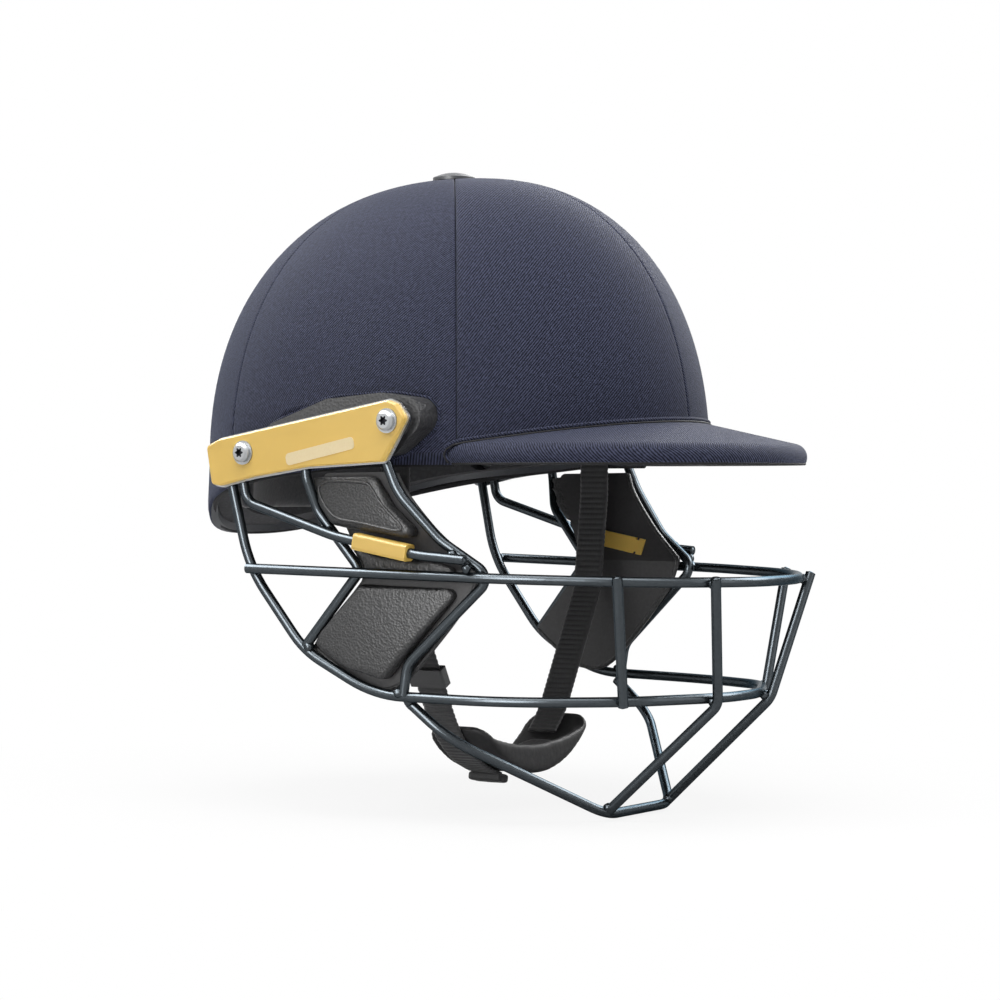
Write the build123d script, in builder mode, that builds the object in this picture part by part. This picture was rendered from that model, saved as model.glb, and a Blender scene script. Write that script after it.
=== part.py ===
from build123d import *
import os
from math import acos, atan2, cos, degrees, radians, sin, sqrt, tan

# Cricket helmet in millimetres. X points forward, Y to the wearer's left, Z up. The origin lies below the
# crown button, on the plane of symmetry, at the height of the peak's underside.

# Crown, measured on the outside of its cloth
crown_half_width = 99.0
crown_front_reach = 150.2
crown_rear_reach = 97.2
crown_height = 134.45
crown_widest_x = -22.0
crown_lean = 33.0
crown_power = 2.25
skirt_depth = 46.0
skirt_flare_share = 0.016
cloth_dome_angles = (0, 6, 15, 30, 46, 61, 75, 86)
shell_dome_angles = (0, 14, 30, 48, 66, 82)

# Lower rim in side view, from the nape to the temple
rim_nape_drop = 33.0
rim_ear_rear_x = -87.0
rim_ear_rear_drop = 16.5
rim_ear_x = -4.0
rim_ear_drop = 2.0
rim_temple_x = 24.0

# Layers of the crown, from the outside in
cloth_thickness = 1.2
shell_thickness = 3.0
liner_thickness = 10.0
comfort_thickness = 6.0
cloth_gap = 0.5
layer_gap = 0.3
seam_gap = 0.5
seam_angles = (0, 55, 124, 180)
liner_lift = 3.0

# Comfort pads, by plan angle and height
front_pad_angle = 42
front_pad_foot = 6.0
front_pad_top = 38.0
rear_pad_angle = 34
rear_pad_foot = -20.0
rear_pad_top = 18.0
side_pad_start = 66
side_pad_end = 124
side_pad_foot = 34.0
side_pad_top = 62.0
crown_pad_radius = 42.0

# Crown button and its rivet
button_radius = 10.0
button_height = 3.8
button_edge_height = 1.4
button_rivet_radius = 2.4
button_flange_radius = 6.0
button_flange_thickness = 1.2
shell_top_drop = 1.2

# Peak, a flat disc with a sloping top, standing out of the crown
peak_setback = 43.2
peak_radius = 91.5
peak_slope = 12.9
peak_shoulder_height = 10.4
peak_nose_length = 9.5
peak_nose_lead = 1.4
peak_nose_radius = 6.2
peak_tuck = 2.2
peak_bottom_thickness = 1.2

# Side plate, its outline in side view given as shares of its length and height
plate_length = 109.0
plate_height = 37.1
plate_rear_x = -60.5
plate_foot_z = -9.2
plate_thickness = 3.0
plate_chamfer = 0.7
plate_inner_y = 105.8
plate_corner_radius = 2.2
plate_outline_shares = (
    (0.018, 0.02), (0.06, 0.0), (0.222, 0.106), (0.505, 0.226), (0.888, 0.285), (1.0, 0.79),
    (0.955, 0.955), (0.915, 1.0), (0.06, 0.566), (-0.01, 0.48),
)

# Grille bracket, the steel strip under the plate
bracket_thickness = 1.5
bracket_lip = 0.8
seat_gap = 0.05

# Plate screws, washers and T nuts
screw_xs = (-40.0, 39.4)
screw_zs = (5.6, 19.0)
screw_shank_radius = 2.4
screw_head_radius = 4.3
screw_head_height = 2.4
screw_head_chamfer = 1.0
screw_socket_radius = 1.6
screw_socket_depth = 1.4
washer_radius = 5.4
washer_thickness = 0.6
nut_flange_radius = 7.0
nut_flange_thickness = 1.5
nut_barrel_radius = 3.8
screw_tip_length = 2.0
hole_clearance = 0.3
thread_gap = 0.05

# Side insert over the ear, its outline given as shares of its length and height
insert_length = 98.8
insert_height = 32.6
insert_rear_x = -50.0
insert_foot_z = -2.0
insert_outer_y = 99.3
insert_boss_radius = 6.2
insert_corner_radius = 7.0
insert_outline_shares = (
    (-0.04, 0.0), (0.18, 0.63), (0.5, 0.96), (0.8, 1.03), (1.0, 0.94), (1.02, 0.6), (0.88, 0.2), (0.35, 0.0),
)

# Grille wires. Places along the cage are shares of its reach, half width and drop
wire_diameter = 4.5
weld_gap = 0.1
cage_reach = 172.0
cage_half_width = 104.3
cage_drop = 103.7
upper_bar_drop = 47.2
upper_bar_fall = 3.6
chin_drop = 155.5
chin_reach = 101.5
wire_stub = 2.0
upper_plan_shares = ((-0.241, 1.0), (0.51, 0.893), (0.852, 0.648), (1.0, 0.205))
upper_bend_radii = (120.0, 80.0, 62.0)
lower_route_shares = (
    (-0.0835, 0.933, 0.798), (0.122, 0.887, 0.979), (0.5, 0.844, 0.988), (0.767, 0.585, 0.983),
    (0.9, 0.153, 0.983),
)
lower_bend_radii = (60.0, 45.0, 60.0, 110.0, 50.0, 52.0)
rear_upright_top_shares = (-0.317, 0.02)
rear_upright_knee_shares = (-0.2535, -0.4436)
chin_start_share = 0.212
chin_shoulder_shares = (0.55, 0.833)
chin_corner_share = 0.266
chin_bend_radii = (36.0, 20.0)
chin_tuck_angle = 39
front_wire_shares = (
    (0.18, 0.077), (0.233, -0.116), (0.337, -0.318), (0.466, -0.468), (0.224, -0.844), (0.212, -0.975),
)
front_wire_bend_radii = (30.0, 30.0, 6.0, 12.0)
rear_wire_shares = ((-0.064, 0.05), (-0.055, -0.06), (-0.035, -0.2), (0.087, -0.448), (-0.08, -0.78))
rear_wire_bend_radii = (12.0, 14.0, 5.0)
rear_tuck_share = 0.85
brace_shares = ((-0.269, -0.015), (-0.252, -0.158), (0.035, -0.304), (0.291, -0.379), (0.426, -0.396))
brace_bend_radii = (8.0, 90.0, 60.0)
outer_bar_shares = (0.339, 0.393)
inner_bar_shares = (0.4185, 0.464)
inner_bar_foot_share = 0.4
inner_bend_radius = 9.0
inner_bend_share = 0.6
lean_share = 1.04
vertex_tuck_share = 1.25

# Cheek pads in side view, as shares of the tip's reach and of the pad's depth
pad_reach = 79.5
pad_depth = 102.0
pad_corner_radius = 3.0
pad_gap = 0.3
board_thickness = 1.5
board_corner_radius = 3.0
board_outline_shares = (
    (0.465, 0.03), (0.515, 0.12), (0.69, 0.284), (0.82, 0.373), (0.93, 0.44), (0.85, 0.588), (0.51, 0.889),
    (0.39, 0.965), (0.29, 0.985), (0.187, 0.975), (-0.021, 0.885), (-0.165, 0.8), (0.17, 0.5), (0.17, 0.42),
    (-0.05, 0.035),
)
upper_pad_shares = (
    (-0.128, 0.045), (0.31, 0.035), (0.36, 0.055), (0.445, 0.18), (0.645, 0.325), (0.234, 0.288),
    (0.03, 0.262), (-0.08, 0.16),
)
middle_pad_shares = ((0.09, 0.35), (0.25, 0.385), (0.68, 0.42), (0.8, 0.45), (0.76, 0.49), (0.21, 0.485))
lower_pad_shares = ((0.19, 0.515), (0.83, 0.53), (0.35, 0.93), (0.107, 0.885), (-0.13, 0.775))

# The board's twist: its height, and its distance out at its rear and front limits, as shares of the pad's
# depth and of the cage's half width
board_rear_x = -20.0
board_front_x = 85.0
board_twist_shares = (
    (0.0, 0.944, 0.944), (0.284, 0.892, 0.878), (0.451, 0.893, 0.803), (0.784, 0.89, 0.8),
    (1.03, 0.863, 0.81),
)

# Cushions over the board: distance out at the rivets' height, lean in towards the front, crown and edge
upper_pad_y = 102.0
middle_pad_y = 96.6
lower_pad_y = 99.4
cheek_lean = 4.5
cushion_depth = 24.0
upper_crown_radius = 220.0
middle_crown_radius = 320.0
lower_crown_radius = 260.0
upper_pad_edge = 4.5
middle_pad_edge = 1.8
lower_pad_edge = 3.6

# Pad clip on the brace
clip_start_share = 0.26
clip_length = 28.0
clip_height = 7.4
clip_wall = 1.4
clip_corner_radius = 1.6
clip_web_length = 10.0
clip_web_height = 2.4
clip_tongue_length = 25.0
clip_tongue_height = 7.6
clip_tongue_thickness = 1.3
clip_tongue_shift = 8.0
clip_notch = 2.0

# Chin strap and its rivets
strap_x = 26.0
strap_width = 16.0
strap_thickness = 1.6
strap_hang_y = 84.0
strap_knee_z = -14.0
strap_jaw_y = 77.5
strap_jaw_z = -60.0
strap_pivot_z = 8.0
strap_top_length = 8.0
strap_eye_clearance = 0.1
strap_rivet_radius = 2.4
strap_head_radius = 5.0
strap_head_height = 1.0
strap_sway_room = 8.0
left_end_angle = -52
right_end_angle = -78
hem_length = 9.0
hem_overhang = 2.0
hem_corner_radius = 1.5
strap_knee_radius = 60.0
strap_jaw_radius = 50.0
strap_top_radius = 6.0
strap_collar_radius = 4.0
hug_share = 0.98
hem_thickness = 4.4

# Chin cup, a band round the chin
cup_centre_y = 2.8
cup_centre_z = -85.0
cup_radius = 56.0
cup_thickness = 3.4
cup_rear_x = 13.0
cup_front_x = 47.0
cup_end_angle = 37
cup_wall_angle = 42
cup_wall_height = 12.0
cup_corner_radius = 9.0
lining_thickness = 1.5
lining_angle = 58
lining_margin = 5.0

# Strap slider on the right webbing
slider_length = 9.0
slider_wall = 1.5
slider_clearance = 0.25
slider_share = 0.66
slider_corner_radius = 1.0


# Working values that follow from the sizes above
peak_centre_x = crown_widest_x + crown_front_reach - peak_setback
wire_pitch = wire_diameter + weld_gap
bracket_outer_y = plate_inner_y - seat_gap
bracket_inner_y = bracket_outer_y - bracket_thickness
wire_lane_y = bracket_inner_y - weld_gap - wire_diameter / 2
shell_inset = cloth_thickness + cloth_gap
liner_inset = shell_inset + shell_thickness + layer_gap
comfort_inset = liner_inset + liner_thickness + layer_gap
cavity_inset = comfort_inset + comfort_thickness
overrun = 2 * crown_front_reach
sides = {"left": 1, "right": -1}


def keep(name, shape):
    """Label a finished piece and write it."""
    shape.label = name
    export_step(shape, f"parts/{name}.step")


def keep_pair(name, shape):
    """Write a piece made for the left side, and its mirror image for the right."""
    keep(f"{name}_left", shape)
    keep(f"{name}_right", mirror(shape, about=Plane.XZ))


def side_plane(y):
    """Plane of a side view at a distance to the left; extruding by a negative amount goes outwards."""
    return Plane.XZ.offset(-y)


def crown_levels(inset, angles):
    """Heights of the crown's sections and the share of its full plan at each."""
    levels = [(-skirt_depth, 1 + skirt_flare_share), (-skirt_depth / 2, 1 + skirt_flare_share / 2)]
    for angle in angles:
        height_share = sin(radians(angle)) ** (2 / crown_power)
        levels.append(((crown_height - inset) * height_share, cos(radians(angle)) ** (2 / crown_power)))
    return levels


def wall_y(x, height, inset):
    """Distance from the plane of symmetry to the shell's wall, drawn in by inset."""
    levels = crown_levels(inset, shell_dome_angles)
    low, high = next(pair for pair in zip(levels, levels[1:]) if pair[1][0] >= height)
    share = low[1] + (high[1] - low[1]) * (height - low[0]) / (high[0] - low[0])
    centre = crown_widest_x + crown_lean * (1 - share)
    reach = crown_front_reach if x > centre else crown_rear_reach
    along = (x - centre) / ((reach - inset) * share)
    return (crown_half_width - inset) * share * sqrt(1 - along**2)


def crown_form(inset, smooth=False):
    """Solid under the crown's surface, drawn in by inset: smooth for cloth, banded for what it hides."""
    angles = cloth_dome_angles if smooth else shell_dome_angles
    with BuildPart() as form:
        for height, share in crown_levels(inset, angles):
            centre = (crown_widest_x + crown_lean * (1 - share), 0)
            half_width = (crown_half_width - inset) * share
            front_reach = (crown_front_reach - inset) * share
            rear_reach = (crown_rear_reach - inset) * share
            with BuildSketch(Plane.XY.offset(height)):
                with BuildLine():
                    EllipticalCenterArc(centre, front_reach, half_width, -90, arc_size=180)
                    EllipticalCenterArc(centre, rear_reach, half_width, 90, arc_size=180)
                make_face()
        loft(ruled=not smooth)
    return form.part


def rim_cutter(lift):
    """Everything below the helmet's rim, raised by lift."""
    nape_x = crown_widest_x - crown_rear_reach
    nape_slope = (rim_nape_drop - rim_ear_rear_drop) / (rim_ear_rear_x - nape_x)
    start_x = nape_x - crown_half_width
    with BuildPart() as cutter:
        with BuildSketch(Plane.XZ):
            with BuildLine():
                rim = Spline(
                    (nape_x, -rim_nape_drop + lift),
                    (rim_ear_rear_x, -rim_ear_rear_drop + lift),
                    (rim_ear_x, -rim_ear_drop + lift),
                    (rim_temple_x, lift),
                    tangents=((1, nape_slope / 2), (1, 0)),
                )
                nape_z = lift - rim_nape_drop
                below = [(overrun, lift), (overrun, -overrun), (start_x, -overrun), (start_x, nape_z)]
                Polyline(rim @ 1, *below, rim @ 0)
            make_face()
        extrude(amount=overrun, both=True)
    return cutter.part


def sector(start, end, gap):
    """Tall wedge about the button axis between two plan angles, with half a gap taken off each side."""
    half = radians((end - start) / 2)
    middle = radians((end + start) / 2)
    back_off = gap / 2 / sin(half)
    centre = (back_off * cos(middle), back_off * sin(middle))
    rays = [
        (centre[0] + overrun * cos(angle), centre[1] + overrun * sin(angle))
        for angle in (middle - half, middle, middle + half)
    ]
    with BuildPart() as wedge:
        with BuildSketch(Plane.XY.offset(-skirt_depth)):
            with BuildLine():
                Polyline(centre, *rays, centre)
            make_face()
        extrude(amount=overrun)
    return wedge.part


def drill(places, radius, from_y, to_y):
    """Round bars across the left side, for holes and seats."""
    with BuildPart() as bars:
        with BuildSketch(side_plane(from_y)):
            with Locations(*places):
                Circle(radius)
        extrude(amount=from_y - to_y)
    return bars.part


def wire(points, bend_radii, diameter=wire_diameter):
    """Round wire along straight runs and tangent bends."""
    with BuildPart() as piece:
        with BuildLine():
            route = FilletPolyline(*points, radius=bend_radii) if bend_radii else Polyline(*points)
        with BuildSketch(Plane(origin=route @ 0, z_dir=route % 0)):
            Circle(diameter / 2)
        sweep()
    return piece.part


def u_route(left_points):
    """The left half of a bar that runs round the front, with its mirror image."""
    return [*left_points, *[(x, -y, z) for x, y, z in reversed(left_points)]]


def u_radii(radii):
    """Bend radii of a bar that runs round the front."""
    return [*radii, *reversed(radii)]


def along(route, share, out):
    """Place on a bar, moved outwards in plan."""
    spot = route @ share
    heading = route % share
    outward = Vector(-heading.Y, heading.X, 0).normalized()
    return spot + outward * out


def pad_corners(shares):
    """Side view corners of a cheek pad piece."""
    return [(pad_reach * x, -pad_depth * z) for x, z in shares]


os.makedirs("parts", exist_ok=True)


# Crown forms, one for each surface between two layers
cloth_form = crown_form(0, smooth=True)
cloth_back_form = crown_form(cloth_thickness, smooth=True)
shell_form = crown_form(shell_inset)
shell_back_form = crown_form(shell_inset + shell_thickness)
liner_form = crown_form(liner_inset)
liner_back_form = crown_form(liner_inset + liner_thickness)
comfort_form = crown_form(comfort_inset)
cavity_form = crown_form(cavity_inset)
rim = rim_cutter(0)
lifted_rim = rim_cutter(liner_lift)


# Side insert outline, shared by the insert and by the window in the cloth
screw_places = list(zip(screw_xs, screw_zs))
insert_corners = [
    (insert_rear_x + insert_length * x, insert_foot_z + insert_height * z) for x, z in insert_outline_shares
]


def insert_prism(spread, outer_y):
    """Prism of the side insert's outline, from inside the crown to a distance from the middle."""
    with BuildPart() as prism:
        with BuildSketch(side_plane(crown_half_width / 2)):
            with BuildLine():
                FilletPolyline(*insert_corners, radius=insert_corner_radius, close=True)
            make_face()
            with Locations(*screw_places):
                Circle(insert_boss_radius)
            if spread:
                offset(amount=spread)
        extrude(amount=crown_half_width / 2 - outer_y)
    return prism.part


# Places on the crown's wall for the screws and the strap rivet
strap_place = (strap_x, strap_pivot_z)
insert_window = insert_prism(seam_gap, overrun)
screw_holes = drill(screw_places, nut_barrel_radius + hole_clearance, 0, overrun)
strap_hole = drill([strap_place], strap_rivet_radius + hole_clearance, 0, overrun)
button_hole_radius = button_rivet_radius + hole_clearance


# Crown cover, six cloth panels sewn over the shell
panel_names = ("crown_panel_front", "crown_panel_side", "crown_panel_rear")
for name, start, end in zip(panel_names, seam_angles, seam_angles[1:]):
    with BuildPart() as panel:
        add(cloth_form)
        add(sector(start, end, seam_gap), mode=Mode.INTERSECT)
        add(cloth_back_form, mode=Mode.SUBTRACT)
        add(rim, mode=Mode.SUBTRACT)
        add(insert_window, mode=Mode.SUBTRACT)
        Cylinder(button_hole_radius, 2 * overrun, mode=Mode.SUBTRACT)
    keep_pair(name, panel.part)


# Outer shell, moulded, under the cloth
with BuildPart() as shell:
    add(shell_form)
    add(shell_back_form, mode=Mode.SUBTRACT)
    add(rim, mode=Mode.SUBTRACT)
    for bars in (screw_holes, strap_hole):
        add(bars, mode=Mode.SUBTRACT)
        add(mirror(bars, about=Plane.XZ), mode=Mode.SUBTRACT)
    Cylinder(button_hole_radius, 2 * overrun, mode=Mode.SUBTRACT)
keep("outer_shell", shell.part)


# Crown button, a low dome, and the rivet that holds it
button_z = crown_height + seat_gap
button_rise = button_height - button_edge_height
button_cap_radius = (button_radius**2 + button_rise**2) / (2 * button_rise)
with BuildPart() as button:
    with BuildSketch(Plane.XZ.shift_origin((0, 0, button_z))):
        with BuildLine():
            Polyline((0, button_height), (0, 0), (button_radius, 0), (button_radius, button_edge_height))
            RadiusArc((button_radius, button_edge_height), (0, button_height), -button_cap_radius)
        make_face()
    revolve(axis=Axis.Z)
    with BuildSketch(Plane.XY.offset(button_z)):
        Circle(button_rivet_radius + thread_gap)
    extrude(amount=button_edge_height, mode=Mode.SUBTRACT)
keep("crown_button", button.part)

shell_top_back = crown_height - shell_inset - shell_thickness
shank_length = button_z + button_edge_height - shell_top_back
flange_foot_z = shell_top_back - shell_top_drop - button_flange_thickness
with BuildPart() as button_rivet:
    with BuildSketch(Plane.XY.offset(flange_foot_z)):
        Circle(button_flange_radius)
    extrude(amount=overrun)
    add(crown_form(shell_inset + shell_thickness + seat_gap), mode=Mode.INTERSECT)
    with BuildSketch(Plane.XY.offset(shell_top_back - shell_top_drop - seat_gap)):
        Circle(button_rivet_radius)
    extrude(amount=shank_length + shell_top_drop)
keep("button_rivet", button_rivet.part)


# Peak, its top cloth, core and underside cloth
def peak_disc(inset, foot):
    """Disc with a sloping top and a rounded nose, drawn in by inset, standing on foot."""
    slope = tan(radians(peak_slope))
    shoulder_z = peak_shoulder_height - inset / cos(radians(peak_slope))
    apex_z = shoulder_z + (peak_radius - peak_nose_length) * slope
    nose_x = peak_radius - inset + peak_nose_lead
    with BuildPart() as disc:
        with BuildSketch(Plane(origin=(peak_centre_x, 0, 0), x_dir=(1, 0, 0), z_dir=(0, -1, 0))):
            with BuildLine():
                edge = FilletPolyline(
                    (peak_radius - inset - peak_tuck, foot), (nose_x, apex_z - nose_x * slope), (0, apex_z),
                    radius=peak_nose_radius - inset,
                )
                Polyline(edge @ 1, (0, foot), edge @ 0)
            make_face()
        revolve(axis=Axis(origin=(peak_centre_x, 0, 0), direction=(0, 0, 1)))
    return disc.part


def above(height):
    """Everything above a height."""
    with BuildPart() as block:
        with BuildSketch(Plane.XY.offset(height)):
            Circle(overrun)
        extrude(amount=overrun)
    return block.part


core_inset = cloth_thickness + seat_gap
cloth_wall = crown_form(-layer_gap, smooth=True)
with BuildPart() as peak_top:
    add(peak_disc(0, 0))
    add(peak_disc(cloth_thickness, 0), mode=Mode.SUBTRACT)
    add(cloth_wall, mode=Mode.SUBTRACT)
keep("peak_cover_top", peak_top.part)

with BuildPart() as peak_core:
    add(peak_disc(core_inset, 0))
    add(above(peak_bottom_thickness + seat_gap), mode=Mode.INTERSECT)
    add(cloth_wall, mode=Mode.SUBTRACT)
keep("peak_core", peak_core.part)

with BuildPart() as peak_bottom:
    add(peak_disc(core_inset, 0))
    add(above(peak_bottom_thickness), mode=Mode.SUBTRACT)
    add(cloth_wall, mode=Mode.SUBTRACT)
keep("peak_cover_underside", peak_bottom.part)


# Impact liner, with seats for the nuts and rivets and a pocket for each strap
strap_inner_y = strap_hang_y - strap_thickness / 2
strap_outer_y = strap_hang_y + strap_thickness / 2
pocket_half = strap_width / 2 + strap_sway_room
pocket_top = strap_pivot_z + strap_top_length + strap_sway_room
with BuildPart() as pockets:
    with BuildSketch(side_plane(strap_inner_y - strap_sway_room)):
        with Locations((strap_x, 0)):
            Rectangle(2 * pocket_half, 2 * pocket_top)
    extrude(amount=-overrun)
nut_seats = drill(screw_places, nut_flange_radius + hole_clearance, crown_half_width / 2, overrun)
with BuildPart() as liner:
    add(liner_form)
    add(liner_back_form, mode=Mode.SUBTRACT)
    add(lifted_rim, mode=Mode.SUBTRACT)
    for cut in (pockets.part, nut_seats):
        add(cut, mode=Mode.SUBTRACT)
        add(mirror(cut, about=Plane.XZ), mode=Mode.SUBTRACT)
    with BuildSketch(Plane.XY.offset(flange_foot_z - hole_clearance)):
        Circle(button_flange_radius + hole_clearance)
    extrude(amount=overrun, mode=Mode.SUBTRACT)
keep("impact_liner", liner.part)


# Comfort pads on the liner
def comfort_pad(start, end, foot, top):
    """Pad on the liner between two plan angles and two heights."""
    with BuildPart() as pad:
        add(comfort_form)
        add(cavity_form, mode=Mode.SUBTRACT)
        add(sector(start, end, seam_gap), mode=Mode.INTERSECT)
        with BuildSketch(Plane.XY.offset(foot)):
            Circle(overrun)
        extrude(amount=top - foot, mode=Mode.INTERSECT)
    return pad.part


keep("comfort_pad_front", comfort_pad(-front_pad_angle, front_pad_angle, front_pad_foot, front_pad_top))
keep("comfort_pad_rear", comfort_pad(180 - rear_pad_angle, 180 + rear_pad_angle, rear_pad_foot, rear_pad_top))
keep_pair("comfort_pad_side", comfort_pad(side_pad_start, side_pad_end, side_pad_foot, side_pad_top))
with BuildPart() as crown_pad:
    add(comfort_form)
    add(cavity_form, mode=Mode.SUBTRACT)
    with BuildSketch(Plane.XY.offset(front_pad_top)):
        Circle(crown_pad_radius)
    extrude(amount=overrun, mode=Mode.INTERSECT)
keep("comfort_pad_crown", crown_pad.part)


# Side inserts, black mouldings with a boss under each screw
head_top_y = wall_y(strap_x, strap_pivot_z, shell_inset) + layer_gap + strap_head_height
shank_holes = drill(screw_places, screw_shank_radius + hole_clearance, 0, overrun)
rivet_seat = drill([strap_place], strap_head_radius + hole_clearance, 0, head_top_y + hole_clearance)
with BuildPart() as insert:
    add(insert_prism(0, insert_outer_y))
    with BuildSketch(side_plane(crown_half_width / 2)):
        with Locations(*screw_places):
            Circle(insert_boss_radius)
    extrude(amount=crown_half_width / 2 - bracket_inner_y + seat_gap)
    add(crown_form(shell_inset - layer_gap), mode=Mode.SUBTRACT)
    add(rim, mode=Mode.SUBTRACT)
    add(shank_holes, mode=Mode.SUBTRACT)
    add(rivet_seat, mode=Mode.SUBTRACT)
keep_pair("side_insert", insert.part)


# Grille brackets and the side plates over them
plate_corners = [
    (plate_rear_x + plate_length * x, plate_foot_z + plate_height * z) for x, z in plate_outline_shares
]
with BuildPart() as bracket:
    with BuildSketch(side_plane(bracket_inner_y)):
        with BuildLine():
            FilletPolyline(*plate_corners, radius=plate_corner_radius, close=True)
        make_face()
        offset(amount=bracket_lip)
    extrude(amount=-bracket_thickness)
    add(shank_holes, mode=Mode.SUBTRACT)
keep_pair("grille_bracket", bracket.part)

plate_outer_y = plate_inner_y + plate_thickness
with BuildPart() as plate:
    with BuildSketch(side_plane(plate_inner_y)):
        with BuildLine():
            FilletPolyline(*plate_corners, radius=plate_corner_radius, close=True)
        make_face()
    extrude(amount=-plate_thickness)
    chamfer(plate.faces().sort_by(Axis.Y)[-1].edges(), plate_chamfer)
    add(shank_holes, mode=Mode.SUBTRACT)
keep_pair("side_plate", plate.part)


# Plate screws, their washers and the nuts inside the shell
washer_outer_y = plate_outer_y + seat_gap + washer_thickness
head_inner_y = washer_outer_y + seat_gap
with BuildPart() as washers:
    with BuildSketch(side_plane(plate_outer_y + seat_gap)):
        with Locations(*screw_places):
            Circle(washer_radius)
            Circle(screw_shank_radius + hole_clearance, mode=Mode.SUBTRACT)
    extrude(amount=-washer_thickness)
    mirror(about=Plane.XZ)
keep("screw_washers", washers.part)

with BuildPart() as screws:
    for x, z in screw_places:
        nut_face_y = wall_y(x, z, shell_inset + shell_thickness)
        tip_y = nut_face_y - nut_flange_thickness - screw_tip_length
        add(drill([(x, z)], screw_shank_radius, tip_y, head_inner_y))
        with BuildSketch(side_plane(head_inner_y)):
            with Locations((x, z)):
                Circle(screw_head_radius)
        extrude(amount=-screw_head_height)
    chamfer(screws.faces().group_by(Axis.Y)[-1].edges(), screw_head_chamfer)
    with BuildSketch(side_plane(head_inner_y + screw_head_height)):
        with Locations(*screw_places):
            RegularPolygon(screw_socket_radius, 6)
    extrude(amount=screw_socket_depth, mode=Mode.SUBTRACT)
    mirror(about=Plane.XZ)
keep("plate_screws", screws.part)

with BuildPart() as flanges:
    for x, z in screw_places:
        nut_face_y = wall_y(x, z, shell_inset + shell_thickness)
        add(drill([(x, z)], nut_flange_radius, nut_face_y - nut_flange_thickness - layer_gap, overrun))
    add(crown_form(shell_inset + shell_thickness + seat_gap), mode=Mode.INTERSECT)
with BuildPart() as nuts:
    add(drill(screw_places, nut_barrel_radius, crown_half_width / 2, overrun))
    add(crown_form(shell_inset + layer_gap), mode=Mode.INTERSECT)
    add(crown_form(shell_inset + shell_thickness + layer_gap), mode=Mode.SUBTRACT)
    add(flanges.part)
    add(drill(screw_places, screw_shank_radius + thread_gap, 0, overrun), mode=Mode.SUBTRACT)
    mirror(about=Plane.XZ)
keep("t_nuts", nuts.part)


# Grille, one node for each wire
def cage_place(x_share, y, z_share):
    """Place in the cage from shares of its reach and drop."""
    return (cage_reach * x_share, y, cage_drop * z_share)


def upper_z(x):
    """Height of the upper bar, which falls a little towards the front."""
    return -upper_bar_drop - upper_bar_fall * x / cage_reach


upper_left = [(cage_reach * x, cage_half_width * y, upper_z(cage_reach * x)) for x, y in upper_plan_shares]
upper_points = u_route(upper_left)
upper_radii = u_radii(upper_bend_radii)
upper_bar = wire(upper_points, upper_radii)
keep("upper_bar", upper_bar)
upper_route = FilletPolyline(*upper_points, radius=upper_radii, mode=Mode.PRIVATE)


def upper_y(x):
    """Half width of the upper bar's straight side at a place along the cage."""
    rear, front = upper_left[0], upper_left[1]
    return rear[1] + (front[1] - rear[1]) * (x - rear[0]) / (front[0] - rear[0])


knee_x = cage_reach * rear_upright_knee_shares[0]
lower_left = [
    cage_place(rear_upright_top_shares[0], wire_lane_y, rear_upright_top_shares[1]),
    (knee_x, upper_y(knee_x) - wire_pitch * lean_share, cage_drop * rear_upright_knee_shares[1]),
    *[cage_place(x, cage_half_width * y, -z) for x, y, z in lower_route_shares],
]
lower_points = u_route(lower_left)
lower_radii = u_radii(lower_bend_radii)
lower_bar = wire(lower_points, lower_radii)
keep("lower_bar", lower_bar)
lower_route = FilletPolyline(*lower_points, radius=lower_radii, mode=Mode.PRIVATE)
lower_cope = wire(lower_points, lower_radii, wire_diameter + 2 * weld_gap)

side_rear, side_front = lower_left[3], lower_left[4]
chin_x = cage_reach * chin_start_share
side_share = (chin_x - side_rear[0]) / (side_front[0] - side_rear[0])
chin_tuck = radians(chin_tuck_angle)
chin_y = side_rear[1] + (side_front[1] - side_rear[1]) * side_share - wire_pitch * cos(chin_tuck)
chin_z = side_rear[2] + (side_front[2] - side_rear[2]) * side_share - wire_pitch * sin(chin_tuck)
chin_slope = (chin_drop + chin_z) / (chin_reach - chin_x)
shoulder_x = chin_reach * chin_shoulder_shares[0]
shoulder_y = cage_half_width * chin_shoulder_shares[1] * lean_share - wire_pitch
chin_left = [
    (chin_x, chin_y, chin_z),
    (shoulder_x, shoulder_y, chin_z - chin_slope * (shoulder_x - chin_x)),
    (chin_reach, cage_half_width * chin_corner_share, -chin_drop),
]
chin_points = u_route(chin_left)
chin_radii = u_radii(chin_bend_radii)
keep("chin_bar", wire(chin_points, chin_radii))
chin_route = FilletPolyline(*chin_points, radius=chin_radii, mode=Mode.PRIVATE)
chin_cope = wire(chin_points, chin_radii, wire_diameter + 2 * weld_gap)

lean_pitch = wire_pitch * lean_share
outer_top = along(upper_route, outer_bar_shares[0], lean_pitch)
outer_foot = along(lower_route, outer_bar_shares[1], lean_pitch)
outer_run = (outer_top - outer_foot).normalized() * wire_stub
keep_pair("outer_bar", wire([outer_top + outer_run, outer_foot - outer_run], None))

inner_top = along(upper_route, inner_bar_shares[0], lean_pitch)
inner_bend = along(lower_route, inner_bar_shares[1], lean_pitch) - Vector(0, 0, wire_pitch * inner_bend_share)
inner_foot = chin_route @ inner_bar_foot_share
inner_run = (inner_top - inner_bend).normalized() * wire_stub
with BuildPart() as inner_bar:
    add(wire([inner_top + inner_run, inner_bend, inner_foot], inner_bend_radius))
    add(chin_cope, mode=Mode.SUBTRACT)
keep_pair("inner_bar", inner_bar.part)

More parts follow.
